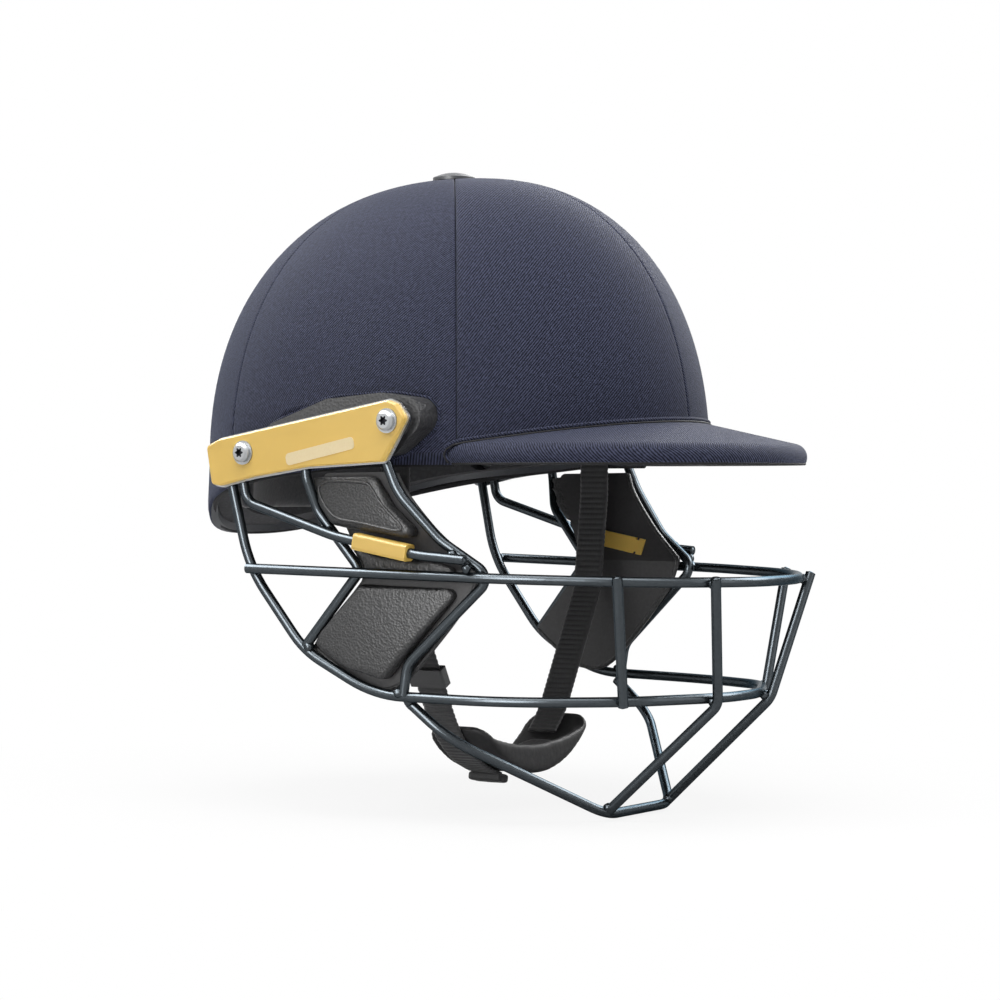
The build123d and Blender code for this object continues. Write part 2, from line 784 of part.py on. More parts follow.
brace_rear_y = wire_lane_y
brace_front_y = upper_y(cage_reach * brace_shares[-1][0]) + wire_pitch
brace_fall = (brace_front_y - brace_rear_y) / brace_shares[-1][0]
brace_ys = [brace_rear_y + brace_fall * max(0, x) for x, z in brace_shares]
brace_points = [cage_place(x, y, z) for (x, z), y in zip(brace_shares, brace_ys)]
keep_pair("brace_wire", wire(brace_points, brace_bend_radii))

vertex_x = cage_reach * front_wire_shares[3][0]
front_ys = (
    wire_lane_y,
    wire_lane_y,
    brace_ys[3] - wire_pitch * lean_share,
    upper_y(vertex_x) - wire_pitch * vertex_tuck_share,
    side_rear[1],
    side_rear[1],
)
with BuildPart() as front_wire:
    add(wire([cage_place(x, y, z) for (x, z), y in zip(front_wire_shares, front_ys)], front_wire_bend_radii))
    add(lower_cope, mode=Mode.SUBTRACT)
keep_pair("front_side_wire", front_wire.part.solids().sort_by(SortBy.VOLUME)[-1])

rear_vertex_x = cage_reach * rear_wire_shares[3][0]
rear_ys = (
    wire_lane_y,
    wire_lane_y,
    brace_ys[1] - wire_pitch * rear_tuck_share,
    upper_y(rear_vertex_x) - wire_pitch,
    lower_left[2][1],
)
rear_points = [cage_place(x, y, z) for (x, z), y in zip(rear_wire_shares, rear_ys)]
with BuildPart() as rear_wire:
    add(wire(rear_points, rear_wire_bend_radii))
    add(lower_cope, mode=Mode.SUBTRACT)
keep_pair("rear_side_wire", rear_wire.part.solids().sort_by(SortBy.VOLUME)[-1])


# Cheek pads: a twisted board inside, and three cushions outside it
clip_from, clip_to = Vector(brace_points[2]), Vector(brace_points[3])
clip_heading = (clip_to - clip_from).normalized()
clip_start = clip_from + (clip_to - clip_from) * clip_start_share
clip_middle = clip_start + clip_heading * clip_length / 2
clip_turn = degrees(atan2(clip_heading.Z, clip_heading.X))


def clip_bar(length, height, from_y, to_y, shift):
    """Flat bar in line with the brace in side view, between two distances from the middle."""
    centre = clip_middle + clip_heading * shift
    with BuildPart() as bar:
        with BuildSketch(side_plane(from_y)):
            with Locations((centre.X, centre.Z)):
                Rectangle(length, height, rotation=clip_turn)
        extrude(amount=from_y - to_y)
    return bar.part


def board_layer(from_offset, to_offset):
    """Layer that follows the board's twist, between two distances out from its inner face."""
    with BuildPart() as layer:
        for depth, rear, front in board_twist_shares:
            rear_y, front_y = cage_half_width * rear, cage_half_width * front
            corners = [
                (board_rear_x, rear_y + from_offset), (board_front_x, front_y + from_offset),
                (board_front_x, front_y + to_offset), (board_rear_x, rear_y + to_offset),
            ]
            with BuildSketch(Plane.XY.offset(-pad_depth * depth)):
                with BuildLine():
                    Polyline(*corners, close=True)
                make_face()
        loft(ruled=True)
    return layer.part


web_slot = clip_bar(clip_web_length + 2 * pad_gap, clip_web_height + 2 * pad_gap, 0, wire_lane_y, 0)
with BuildPart() as board:
    with BuildSketch(side_plane(cage_half_width)):
        with BuildLine():
            FilletPolyline(*pad_corners(board_outline_shares), radius=board_corner_radius, close=True)
        make_face()
    extrude(amount=cage_half_width)
    add(board_layer(0, board_thickness), mode=Mode.INTERSECT)
    add(web_slot, mode=Mode.SUBTRACT)
keep_pair("cheek_board", board.part)

rear_wire_room = wire(rear_points, rear_wire_bend_radii, wire_diameter + 2 * pad_gap)
inside_pads = board_layer(-cage_half_width, board_thickness + seat_gap)


def cushion(shares, corner_radius, outer_y, lean, crown_radius, edge_radius):
    """Cushion over the board, its outer face crowned and its outer edge rounded."""
    corners = pad_corners(shares)
    middle = sum((Vector(*corner) for corner in corners), Vector()) / len(corners)
    forward, inward = cos(radians(lean)), sin(radians(lean))
    outer_plane = Plane(origin=(0, outer_y, 0), x_dir=(forward, -inward, 0), z_dir=(-inward, -forward, 0))
    with BuildPart() as pad:
        with BuildSketch(outer_plane):
            with BuildLine():
                FilletPolyline(*corners, radius=corner_radius, close=True)
            make_face()
        extrude(amount=cushion_depth)
        fillet(pad.faces().sort_by(Axis.Y)[-1].edges(), edge_radius)
        with Locations(outer_plane.from_local_coords(Vector(middle.X, middle.Y, crown_radius))):
            Sphere(crown_radius, mode=Mode.INTERSECT)
        add(inside_pads, mode=Mode.SUBTRACT)
        add(rear_wire_room, mode=Mode.SUBTRACT)
    return pad.part.solids().sort_by(SortBy.VOLUME)[-1]


keep_pair(
    "cheek_pad_upper",
    cushion(upper_pad_shares, pad_corner_radius, upper_pad_y, 0, upper_crown_radius, upper_pad_edge),
)
middle_edge = middle_pad_edge
keep_pair(
    "cheek_pad_middle",
    cushion(middle_pad_shares, middle_edge, middle_pad_y, cheek_lean, middle_crown_radius, middle_edge),
)
keep_pair(
    "cheek_pad_lower",
    cushion(lower_pad_shares, pad_corner_radius, lower_pad_y, cheek_lean, lower_crown_radius, lower_pad_edge),
)


# Pad clips: a sleeve on the brace, a web through the board and a notched tongue inside it
sleeve_width = wire_diameter + 2 * clip_wall
with BuildPart() as tongue:
    add(clip_bar(clip_tongue_length, clip_tongue_height, 0, wire_lane_y, clip_tongue_shift))
    add(board_layer(-seat_gap - clip_tongue_thickness, -seat_gap), mode=Mode.INTERSECT)
    notch_shift = clip_tongue_shift + clip_tongue_length / 2 - 2 * clip_notch
    across = Vector(-clip_heading.Z, 0, clip_heading.X)
    for side in sides.values():
        spot = clip_middle + clip_heading * notch_shift + across * side * clip_tongue_height / 2
        with BuildSketch(side_plane(0)):
            with Locations((spot.X, spot.Z)):
                Rectangle(clip_notch, clip_notch, rotation=clip_turn)
        extrude(amount=-overrun, mode=Mode.SUBTRACT)
with BuildPart() as web:
    add(clip_bar(clip_web_length, clip_web_height, 0, wire_lane_y, 0))
    add(board_layer(-seat_gap - clip_tongue_thickness / 2, cage_half_width), mode=Mode.INTERSECT)
with BuildPart() as clip:
    with BuildSketch(Plane(origin=clip_start, x_dir=(0, 1, 0), z_dir=clip_heading)):
        RectangleRounded(sleeve_width, clip_height, clip_corner_radius)
    extrude(amount=clip_length)
    add(web.part)
    add(tongue.part)
    with BuildSketch(Plane(origin=clip_start, x_dir=(0, 1, 0), z_dir=clip_heading)):
        Circle(wire_diameter / 2 + thread_gap)
    extrude(amount=clip_length, mode=Mode.SUBTRACT)
keep_pair("pad_clip", clip.part)


# Chin strap webbing, hung on a rivet on each side
def hug(start, centre, radius, end_angle):
    """Corner and end of a route that runs from a point to a round and on along it to an angle."""
    run, rise = start[0] - centre[0], start[1] - centre[1]
    touch = atan2(rise, run) - acos(radius / sqrt(run**2 + rise**2))
    finish = radians(end_angle)
    reach = radius / cos((touch - finish) / 2)
    corner = (centre[0] + reach * cos((touch + finish) / 2), centre[1] + reach * sin((touch + finish) / 2))
    touching = (centre[0] + radius * cos(touch), centre[1] + radius * sin(touch))
    return corner, (centre[0] + radius * cos(finish), centre[1] + radius * sin(finish)), touching


def webbing(centre, radius, end_angle):
    """Webbing from its rivet down to the chin cup, on the left side."""
    jaw = (strap_jaw_y, strap_jaw_z)
    corner, finish, touching = hug(jaw, centre, radius, end_angle)
    with BuildPart() as web:
        with BuildSketch(Plane.YZ.offset(strap_x - strap_width / 2)):
            with BuildLine():
                top = (strap_hang_y, strap_pivot_z + strap_top_length)
                knee = (strap_hang_y, strap_knee_z)
                bends = (strap_knee_radius, strap_jaw_radius, radius * hug_share)
                route = FilletPolyline(top, knee, jaw, corner, finish, radius=bends)
            trace(route, line_width=strap_thickness)
        extrude(amount=strap_width)
        fillet(web.edges().filter_by(Axis.Y).group_by(Axis.Z)[-1], strap_top_radius)
        add(drill([strap_place], strap_rivet_radius + strap_eye_clearance, 0, overrun), mode=Mode.SUBTRACT)
    return web.part


cup_inner_radius = cup_radius - cup_thickness / 2
cup_outer_radius = cup_radius + cup_thickness / 2
inside_radius = cup_inner_radius - layer_gap - strap_thickness / 2
outside_radius = cup_outer_radius + layer_gap + strap_thickness / 2
keep("strap_webbing_left", webbing((cup_centre_y, cup_centre_z), inside_radius, left_end_angle))

right_centre = (-cup_centre_y, cup_centre_z)
jaw_place = (strap_jaw_y, strap_jaw_z)
hem_end, touch_place = hug(jaw_place, right_centre, outside_radius, right_end_angle)[1:]
hem_angle = radians(right_end_angle)
hem_down = Vector(0, cos(hem_angle), sin(hem_angle))
with BuildPart() as right_web:
    add(webbing(right_centre, outside_radius, right_end_angle))
    with BuildSketch(Plane(origin=(strap_x, *hem_end), x_dir=(1, 0, 0), z_dir=hem_down)):
        RectangleRounded(strap_width + hem_overhang, hem_length, hem_corner_radius)
    extrude(amount=hem_thickness)
keep("strap_webbing_right", mirror(right_web.part, about=Plane.XZ))

with BuildPart() as strap_collar:
    add(drill([strap_place], strap_collar_radius, strap_outer_y + layer_gap, overrun))
    add(crown_form(shell_inset + shell_thickness + seat_gap), mode=Mode.INTERSECT)
with BuildPart() as strap_rivets:
    inner_head_y = strap_inner_y - layer_gap - strap_head_height
    add(drill([strap_place], strap_head_radius, crown_half_width / 2, head_top_y))
    add(crown_form(shell_inset - seat_gap), mode=Mode.SUBTRACT)
    add(strap_collar.part)
    add(drill([strap_place], strap_rivet_radius, inner_head_y, head_top_y))
    add(drill([strap_place], strap_head_radius, inner_head_y, inner_head_y + strap_head_height))
    mirror(about=Plane.XZ)
keep("strap_rivets", strap_rivets.part)


# Chin cup, a band with a wall in front of the chin, and its lining
def cup_band(inner_radius, outer_radius, end_angle, rear_x, front_x):
    """Band round the chin between two radii."""
    centre = (cup_centre_y, cup_centre_z)
    with BuildPart() as band:
        with BuildSketch(Plane.YZ.offset(rear_x)):
            with BuildLine():
                outer_arc = CenterArc(centre, outer_radius, end_angle - 180, arc_size=180 - 2 * end_angle)
                inner_arc = CenterArc(centre, inner_radius, end_angle - 180, arc_size=180 - 2 * end_angle)
                Line(outer_arc @ 0, inner_arc @ 0)
                Line(outer_arc @ 1, inner_arc @ 1)
            make_face()
        extrude(amount=front_x - rear_x)
        lines = band.edges().filter_by(GeomType.LINE)
        ends = lines.filter_by(lambda edge: edge.length < (front_x - rear_x) / 2)
        fillet(ends, cup_corner_radius)
    return band.part


wall_run = cup_radius * cos(radians(cup_wall_angle))
wall_end_z = cup_centre_z - cup_radius * sin(radians(cup_wall_angle))
wall_ends = [(cup_centre_y + side * wall_run, wall_end_z) for side in sides.values()]
wall_top = (cup_centre_y, cup_centre_z - cup_radius + cup_wall_height)
with BuildPart() as cup:
    add(cup_band(cup_inner_radius, cup_outer_radius, cup_end_angle, cup_rear_x, cup_front_x))
    with BuildSketch(Plane.YZ.offset(cup_front_x - cup_thickness)):
        with BuildLine():
            ThreePointArc(wall_ends[0], wall_top, wall_ends[1])
            ThreePointArc(wall_ends[1], (cup_centre_y, cup_centre_z - cup_radius), wall_ends[0])
        make_face()
    extrude(amount=cup_thickness)
keep("chin_cup", cup.part)
lining_outer_radius = cup_inner_radius - seat_gap
keep(
    "chin_cup_lining",
    cup_band(
        lining_outer_radius - lining_thickness, lining_outer_radius, lining_angle, cup_rear_x + lining_margin,
        cup_front_x - lining_margin,
    ),
)


# Strap slider, a closed loop on the right webbing
slide_run = Vector(0, touch_place[0] - strap_jaw_y, touch_place[1] - strap_jaw_z)
slide_place = Vector(strap_x, strap_jaw_y, strap_jaw_z) + slide_run * slider_share
slot_width = strap_width + 2 * slider_clearance
slot_height = strap_thickness + 2 * slider_clearance
with BuildPart() as slider:
    with BuildSketch(Plane(origin=slide_place, x_dir=(1, 0, 0), z_dir=slide_run.normalized())):
        RectangleRounded(slot_width + 2 * slider_wall, slot_height + 2 * slider_wall, slider_corner_radius)
        Rectangle(slot_width, slot_height, mode=Mode.SUBTRACT)
    extrude(amount=slider_length / 2, both=True)
keep("strap_slider", mirror(slider.part, about=Plane.XZ))
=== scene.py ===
from math import acos, asin, atan2, cos, degrees, pi, radians, sin, sqrt

import bmesh
import bpy
from mathutils import Matrix, Vector, kdtree, noise
from mathutils.bvhtree import BVHTree


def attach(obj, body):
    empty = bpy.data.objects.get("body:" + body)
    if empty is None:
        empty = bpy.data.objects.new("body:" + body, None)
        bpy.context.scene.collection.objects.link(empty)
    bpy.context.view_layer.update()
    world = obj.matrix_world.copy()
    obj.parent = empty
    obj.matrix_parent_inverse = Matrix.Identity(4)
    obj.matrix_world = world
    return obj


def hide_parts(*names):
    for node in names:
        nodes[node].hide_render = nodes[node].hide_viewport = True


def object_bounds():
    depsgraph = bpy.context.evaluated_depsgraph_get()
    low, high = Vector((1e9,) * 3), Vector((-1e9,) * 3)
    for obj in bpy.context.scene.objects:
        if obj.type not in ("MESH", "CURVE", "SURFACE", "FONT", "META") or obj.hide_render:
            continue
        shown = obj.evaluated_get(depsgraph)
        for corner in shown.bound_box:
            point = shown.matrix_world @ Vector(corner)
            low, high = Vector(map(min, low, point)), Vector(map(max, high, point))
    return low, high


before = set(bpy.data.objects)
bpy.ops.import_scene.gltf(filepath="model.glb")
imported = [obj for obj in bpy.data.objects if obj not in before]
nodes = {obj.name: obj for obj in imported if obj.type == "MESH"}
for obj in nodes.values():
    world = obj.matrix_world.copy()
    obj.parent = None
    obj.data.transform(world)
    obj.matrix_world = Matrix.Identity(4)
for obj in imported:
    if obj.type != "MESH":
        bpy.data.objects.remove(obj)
cad_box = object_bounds()
mm = 0.001


# Camera, in front of the helmet's right side and level with the peak, at the distance and
# with the lens of the photograph's view.
view_turn = radians(33.5)
view_rise = radians(0.406)
view_aim = Vector((26 * mm, 0, -16 * mm))
view_distance = 1316.4 * mm
away = Vector((sin(view_turn) * cos(view_rise), -cos(view_turn) * cos(view_rise), sin(view_rise)))
rightward = Vector((cos(view_turn), sin(view_turn), 0))
camera = bpy.data.objects.new("camera", bpy.data.cameras.new("camera"))
camera.data.sensor_width = 36
camera.data.lens = 101.4
turned = Matrix((rightward, away.cross(rightward), away)).transposed().to_4x4()
camera.matrix_world = Matrix.Translation(view_aim + away * view_distance) @ turned
bpy.context.scene.collection.objects.link(camera)
bpy.context.scene.camera = camera
bpy.context.scene.view_settings.view_transform = "Standard"


# Light of a plain studio: a wide lamp above the camera, a tall one on the right, a soft one
# over the top, three broad panels that only gloss shows, and a white surround.
def soft_lamp(name, turn, rise, distance, width, height, power):
    """Lamp that faces the helmet from a direction in degrees about it, counted from the camera."""
    spin = view_turn + radians(turn)
    lift = radians(rise)
    facing = Vector((sin(spin) * cos(lift), -cos(spin) * cos(lift), sin(lift)))
    lamp = bpy.data.objects.new(name, bpy.data.lights.new(name, "AREA"))
    lamp.data.shape = "RECTANGLE"
    lamp.data.size = width
    lamp.data.size_y = height
    lamp.data.energy = power
    stance = facing.to_track_quat("Z", "Y").to_matrix().to_4x4()
    lamp.matrix_world = Matrix.Translation(facing * distance) @ stance
    bpy.context.scene.collection.objects.link(lamp)
    return lamp


soft_lamp("key_lamp", turn=-14, rise=60, distance=1.5, width=2.2, height=0.5, power=18)
soft_lamp("right_lamp", turn=62, rise=10, distance=1.6, width=0.5, height=1.5, power=3)
soft_lamp("top_lamp", turn=0, rise=82, distance=1.5, width=1, height=0.6, power=8)

gloss_distance = 1.5
gloss_panels = (
    ("upright_gloss", -30, 2, 0.6, 1.8, 50),
    ("left_gloss", -100, 50, 1.8, 0.8, 70),
    ("right_gloss", 126, 38, 1.8, 0.8, 70),
)
for name, turn, rise, width, height, power in gloss_panels:
    panel = soft_lamp(name, turn, rise, gloss_distance, width, height, power)
    panel.visible_diffuse = False

surround_on_matt, surround_seen = 0.12, 1.0
world = bpy.data.worlds.new("surround")
bpy.context.scene.world = world
world.use_nodes = True
sky = world.node_tree
rays = sky.nodes.new("ShaderNodeLightPath")
seen = sky.nodes.new("ShaderNodeMath")
seen.operation = "MAXIMUM"
mirrored = sky.nodes.new("ShaderNodeMath")
mirrored.operation = "MAXIMUM"
strength = sky.nodes.new("ShaderNodeMapRange")
strength.inputs["To Min"].default_value = surround_on_matt
strength.inputs["To Max"].default_value = surround_seen
sky.links.new(rays.outputs["Is Glossy Ray"], mirrored.inputs[0])
sky.links.new(rays.outputs["Is Transmission Ray"], mirrored.inputs[1])
sky.links.new(rays.outputs["Is Camera Ray"], seen.inputs[0])
sky.links.new(mirrored.outputs[0], seen.inputs[1])
sky.links.new(seen.outputs[0], strength.inputs["Value"])
sky.links.new(strength.outputs["Result"], sky.nodes["Background"].inputs["Strength"])
sky.nodes["Background"].inputs["Color"].default_value = (1, 1, 1, 1)


# Floor under the helmet, painted white. It keeps the helmet's shadow near the middle and fades
# into the surround further out.
def finish(name, colour, roughness, **settings):
    """A plain surface, to which patterns are added."""
    made = bpy.data.materials.new(name)
    made.use_nodes = True
    shader = made.node_tree.nodes["Principled BSDF"]
    shader.inputs["Base Color"].default_value = (*colour, 1)
    shader.inputs["Roughness"].default_value = roughness
    for socket, value in settings.items():
        shader.inputs[socket.replace("_", " ")].default_value = value
    return made


def step(material, kind, inputs, **options):
    """One node of a pattern, with its options, and values or other outputs as its inputs."""
    made = material.node_tree.nodes.new("ShaderNode" + kind)
    for option, value in options.items():
        setattr(made, option, value)
    for socket, value in inputs.items():
        if isinstance(value, bpy.types.NodeSocket):
            material.node_tree.links.new(value, made.inputs[socket])
        else:
            made.inputs[socket].default_value = value
    return made


floor_paint = finish("floor_paint", (0.93, 0.93, 0.93), 0.9)
glow = step(floor_paint, "Emission", {"Color": (1, 1, 1, 1), "Strength": 1.0})
eye = step(floor_paint, "LightPath", {})
floor_place = step(floor_paint, "TexCoord", {})
far_out = step(floor_paint, "VectorMath", {0: floor_place.outputs["Object"]}, operation="LENGTH")
fade_ends = {"From Min": 0.2, "From Max": 0.4, "To Min": 0.88, "To Max": 1.0}
fade = step(floor_paint, "MapRange", {"Value": far_out.outputs["Value"], **fade_ends})
seen_and_far = {0: eye.outputs["Is Camera Ray"], 1: fade.outputs["Result"]}
share = step(floor_paint, "Math", seen_and_far, operation="MULTIPLY")
paint_nodes = floor_paint.node_tree.nodes
matt_or_glow = {0: share.outputs[0], 1: paint_nodes["Principled BSDF"].outputs[0], 2: glow.outputs[0]}
both = step(floor_paint, "MixShader", matt_or_glow)
floor_paint.node_tree.links.new(both.outputs[0], paint_nodes["Material Output"].inputs["Surface"])
floor_half, floor_drop = 1.1, 1 * mm
bed = bmesh.new()
bmesh.ops.create_grid(bed, x_segments=2, y_segments=2, size=floor_half)
bmesh.ops.translate(bed, verts=bed.verts, vec=(0, 0, cad_box[0][2] - floor_drop))
floor_mesh = bpy.data.meshes.new("floor")
bed.to_mesh(floor_mesh)
floor_mesh.materials.append(floor_paint)
floor = bpy.data.objects.new("floor", floor_mesh)
bpy.context.scene.collection.objects.link(floor)


# Outer shell and the core of the peak: hard dark plastic, moulded to shape. The cloth hides
# them, and they are seen only at their inner edges.
def spot(material, scale=(1, 1, 1)):
    """Places on the piece, stretched for a pattern."""
    places = step(material, "TexCoord", {})
    return step(material, "Mapping", {"Vector": places.outputs["Object"], "Scale": scale}).outputs[0]


def relief(material, height, strength, depth):
    """Light and dark of a pattern's height, over what relief the surface has already."""
    shader = material.node_tree.nodes["Principled BSDF"]
    under = shader.inputs["Normal"].links
    inputs = {"Height": height, "Strength": strength, "Distance": depth}
    if under:
        inputs["Normal"] = under[0].from_socket
    made = step(material, "Bump", inputs)
    material.node_tree.links.new(made.outputs[0], shader.inputs["Normal"])


def shades(material, amount, dark, light, socket="Base Color"):
    """Colour or gloss that runs between two values with a pattern."""
    made = step(material, "ValToRGB", {0: amount})
    for end, value in zip(made.color_ramp.elements, (dark, light)):
        end.color = (value, value, value, 1) if isinstance(value, float) else (*value, 1)
    shader = material.node_tree.nodes["Principled BSDF"]
    material.node_tree.links.new(made.outputs[0], shader.inputs[socket])
    return made


def grained(name, colour, roughness, scale, detail, strength, depth, tones, stretch=(1, 1, 1), **settings):
    """Surface with a fine noise in its height and its colour, its depth in millimetres."""
    made = finish(name, colour, roughness, **settings)
    places = {"Vector": spot(made, stretch), "Scale": scale, "Detail": detail}
    skin = step(made, "TexNoise", places).outputs["Fac"]
    relief(made, skin, strength, depth * mm)
    shades(made, skin, *tones)
    return made


def coat(material, *names):
    """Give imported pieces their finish."""
    for name in names:
        nodes[name].data.materials.clear()
        nodes[name].data.materials.append(material)


hard_shell = grained(
    "hard_shell", (0.03, 0.033, 0.042), 0.45, scale=900, detail=2, strength=0.25, depth=0.2,
    tones=((0.022, 0.025, 0.033), (0.042, 0.046, 0.057)),
)
coat(hard_shell, "outer_shell", "peak_core")


# Impact liner: charcoal bead foam, moulded in one piece that follows the shell and pressed
# into it.
bead_foam = finish("bead_foam", (0.05, 0.05, 0.055), 0.8)
bead_places = {"Vector": spot(bead_foam), "Scale": 320}
beads = step(bead_foam, "TexVoronoi", bead_places, feature="DISTANCE_TO_EDGE")
relief(bead_foam, beads.outputs["Distance"], 0.5, 0.5 * mm)
shades(bead_foam, beads.outputs["Distance"], (0.028, 0.028, 0.032), (0.07, 0.07, 0.076))
coat(bead_foam, "impact_liner")


# Comfort pads: soft foam in brushed black cloth, stuck to the liner at the brow, nape, sides
# and crown.
def fresh(name, mesh):
    """A new object with its place in its mesh."""
    made = bpy.data.objects.new(name, mesh)
    bpy.context.scene.collection.objects.link(made)
    return made


def from_work(name, work):
    """A new object with the mesh that was worked."""
    mesh = bpy.data.meshes.new(name)
    work.to_mesh(mesh)
    work.free()
    return fresh(name, mesh)


def merged_copy(node):
    """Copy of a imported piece, closed along its edges."""
    work = bmesh.new()
    work.from_mesh(nodes[node].data)
    bmesh.ops.remove_doubles(work, verts=work.verts, dist=0.004 * mm)
    return work


def settle(piece, material, body, slot, *stands_for):
    """Give a finished piece its surface and its place on a body."""
    piece.data.materials.clear()
    piece.data.materials.append(material)
    for face in piece.data.polygons:
        face.use_smooth = True
    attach(piece, body)
    if stands_for:
        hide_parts(*stands_for)
    return piece


def as_mesh(piece):
    """Turn a piece's modifiers, or a curve, into the piece's own mesh."""
    seen_now = piece.evaluated_get(bpy.context.evaluated_depsgraph_get())
    mesh = bpy.data.meshes.new_from_object(seen_now)
    name = piece.name
    bpy.data.objects.remove(piece)
    return fresh(name, mesh)


def plump(name, node, grain, rounds):
    """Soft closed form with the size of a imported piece, its edges worn round."""
    piece = from_work(name, merged_copy(node))
    remade = piece.modifiers.new("remesh", "REMESH")
    remade.mode = "VOXEL"
    remade.voxel_size = grain
    piece = as_mesh(piece)
    work = bmesh.new()
    work.from_mesh(piece.data)
    for _ in range(rounds):
        bmesh.ops.smooth_vert(
            work, verts=work.verts, factor=0.5, use_axis_x=True, use_axis_y=True, use_axis_z=True
        )
    work.to_mesh(piece.data)
    work.free()
    return piece


brushed_cloth = grained(
    "brushed_cloth", (0.045, 0.045, 0.05), 0.95, scale=700, detail=4, strength=0.5, depth=0.4,
    tones=((0.025, 0.025, 0.028), (0.07, 0.07, 0.075)), Sheen_Weight=0.3,
)
for place in ("front", "rear", "side_left", "side_right", "crown"):
    node = f"comfort_pad_{place}"
    comfort_pad = plump(f"soft_{node}", node, grain=2.0 * mm, rounds=6)
    settle(comfort_pad, brushed_cloth, "helmet", "comfort_foam", node)


# Crown cover: six panels of navy twill, sewn edge to edge and stretched over the shell. Each
# is turned in along its seams, and the side ones are cut out round the ear mouldings.
crown_half_width, crown_front_reach, crown_rear_reach, crown_height = 99.0, 150.2, 97.2, 134.45
crown_widest_x, crown_lean, crown_power = -22.0, 33.0, 2.25
skirt_depth, skirt_flare = 46.0, 0.016
seam_turns = (0, 55, 124, 180)
seam_half_gap = 0.1
rim_points = ((-119.2, -33.0), (-87.0, -16.5), (-4.0, -2.0), (24.0, 0.0))
rim_slopes = (0.256, 0.34, 0.09, 0.0)


def rim_height(x):
    """Height of the lower edge of the cover at a place along the helmet."""
    if x >= rim_points[-1][0]:
        return 0.0
    x = max(x, rim_points[0][0])
    for (x0, z0), (x1, z1), m0, m1 in zip(rim_points, rim_points[1:], rim_slopes, rim_slopes[1:]):
        if x <= x1:
            t, run = (x - x0) / (x1 - x0), x1 - x0
            rise = z0 * (2 * t**3 - 3 * t**2 + 1) + z1 * (3 * t**2 - 2 * t**3)
            return rise + m0 * run * (t**3 - 2 * t**2 + t) + m1 * run * (t**3 - t**2)


def ring(share, inset):
    """Middle and three half axes of the crown's plan at a share of its full size."""
    middle = crown_widest_x + crown_lean * (1 - share)
    return (
        middle, (crown_front_reach - inset) * share, (crown_rear_reach - inset) * share,
        (crown_half_width - inset) * share,
    )


def reach(turn, share, inset):
    """Distance from the button's axis to the crown in a direction of the plan."""
    middle, front, rear, half = ring(share, inset)
    for along in (front, rear):
        a = (cos(turn) / along) ** 2 + (sin(turn) / half) ** 2
        b = -2 * middle * cos(turn) / along**2
        c = (middle / along) ** 2 - 1
        found = (-b + sqrt(max(0.0, b * b - 4 * a * c))) / (2 * a)
        if found * cos(turn) >= middle:
            return found
    return found


def share_over(x, y, inset):
    """Share of the full plan whose ring passes over a place of the plan."""
    low, high = 0.0005, 1.2
    for _ in range(36):
        share = (low + high) / 2
        middle, front, rear, half = ring(share, inset)
        along = front if x > middle else rear
        if ((x - middle) / along) ** 2 + (y / half) ** 2 > 1:
            low = share
        else:
            high = share
    return high


def crown_wall(turn, level, inset):
    """Place on the crown, at a level in degrees of the dome, or below zero in millimetres."""
    if level < 0:
        share, height = 1 - skirt_flare * level / skirt_depth, level
    else:
        share = cos(radians(level)) ** (2 / crown_power)
        height = (crown_height - inset) * sin(radians(level)) ** (2 / crown_power)
    far = reach(turn, share, inset)
    return Vector((far * cos(turn), far * sin(turn), height)) * mm


def crown_top(turn, far, inset):
    """Place on the crown at a distance from the button's axis."""
    share = min(1.0, share_over(far * cos(turn), far * sin(turn), inset))
    height = (crown_height - inset) * (1 - share**crown_power) ** (1 / crown_power)
    return Vector((far * cos(turn), far * sin(turn), height)) * mm


def placed_grid(columns, rows, place):
    """A sheet whose crossings are put in place by column and row, its lengths as its map."""
    work = bmesh.new()
    bmesh.ops.create_grid(work, x_segments=columns, y_segments=rows, size=1)
    cells = {
        vert: (round((vert.co.x + 1) / 2 * columns), round((vert.co.y + 1) / 2 * rows)) for vert in work.verts
    }
    at = {cell: place(*cell) for cell in cells.values()}
    for vert, cell in cells.items():
        vert.co = at[cell]
    middle = columns // 2
    across, climb = {}, [0.0]
    for row in range(rows + 1):
        if row:
            climb.append(climb[-1] + (at[middle, row] - at[middle, row - 1]).length)
        across[middle, row] = 0.0
        for column in range(middle + 1, columns + 1):
            cell_width = (at[column, row] - at[column - 1, row]).length
            across[column, row] = across[column - 1, row] + cell_width
        for column in range(middle - 1, -1, -1):
            cell_width = (at[column, row] - at[column + 1, row]).length
            across[column, row] = across[column + 1, row] - cell_width
    weave = work.loops.layers.uv.new("weave")
    for face in work.faces:
        for loop in face.loops:
            loop[weave].uv = (across[cells[loop.vert]], climb[cells[loop.vert][1]])
    work.normal_update()
    return work


def lay_weave(piece):
    """Map a piece from the side to which each of its faces looks."""
    weave = piece.data.uv_layers.new(name="weave")
    for face in piece.data.polygons:
        x, y, z = (abs(value) for value in face.normal)
        first, second = (0, 1) if z >= max(x, y) else ((1, 2) if x > y else (0, 2))
        for index in face.loop_indices:
            place = piece.data.vertices[piece.data.loops[index].vertex_index].co
            weave.data[index].uv = (place[first], place[second])
    return piece


def thickened(work, name, thickness):
    """Give a sheet its thickness, on its inner side."""
    piece = from_work(name, work)
    wall = piece.modifiers.new("thickness", "SOLIDIFY")
    wall.thickness = thickness
    wall.offset = -1
    return piece


cloth_thickness, hem_sink, hem_rise = 1.1, 0.7, 0.55
turned_in = ((0.0, 0.7), (0.3, 0.22), (0.8, 0.05), (2.0, 0.0))
panel_columns, wall_rows, top_rows = 24, 30, 16
wall_top_level, button_seat, usual_reach = 44.0, 6.0, 120.0


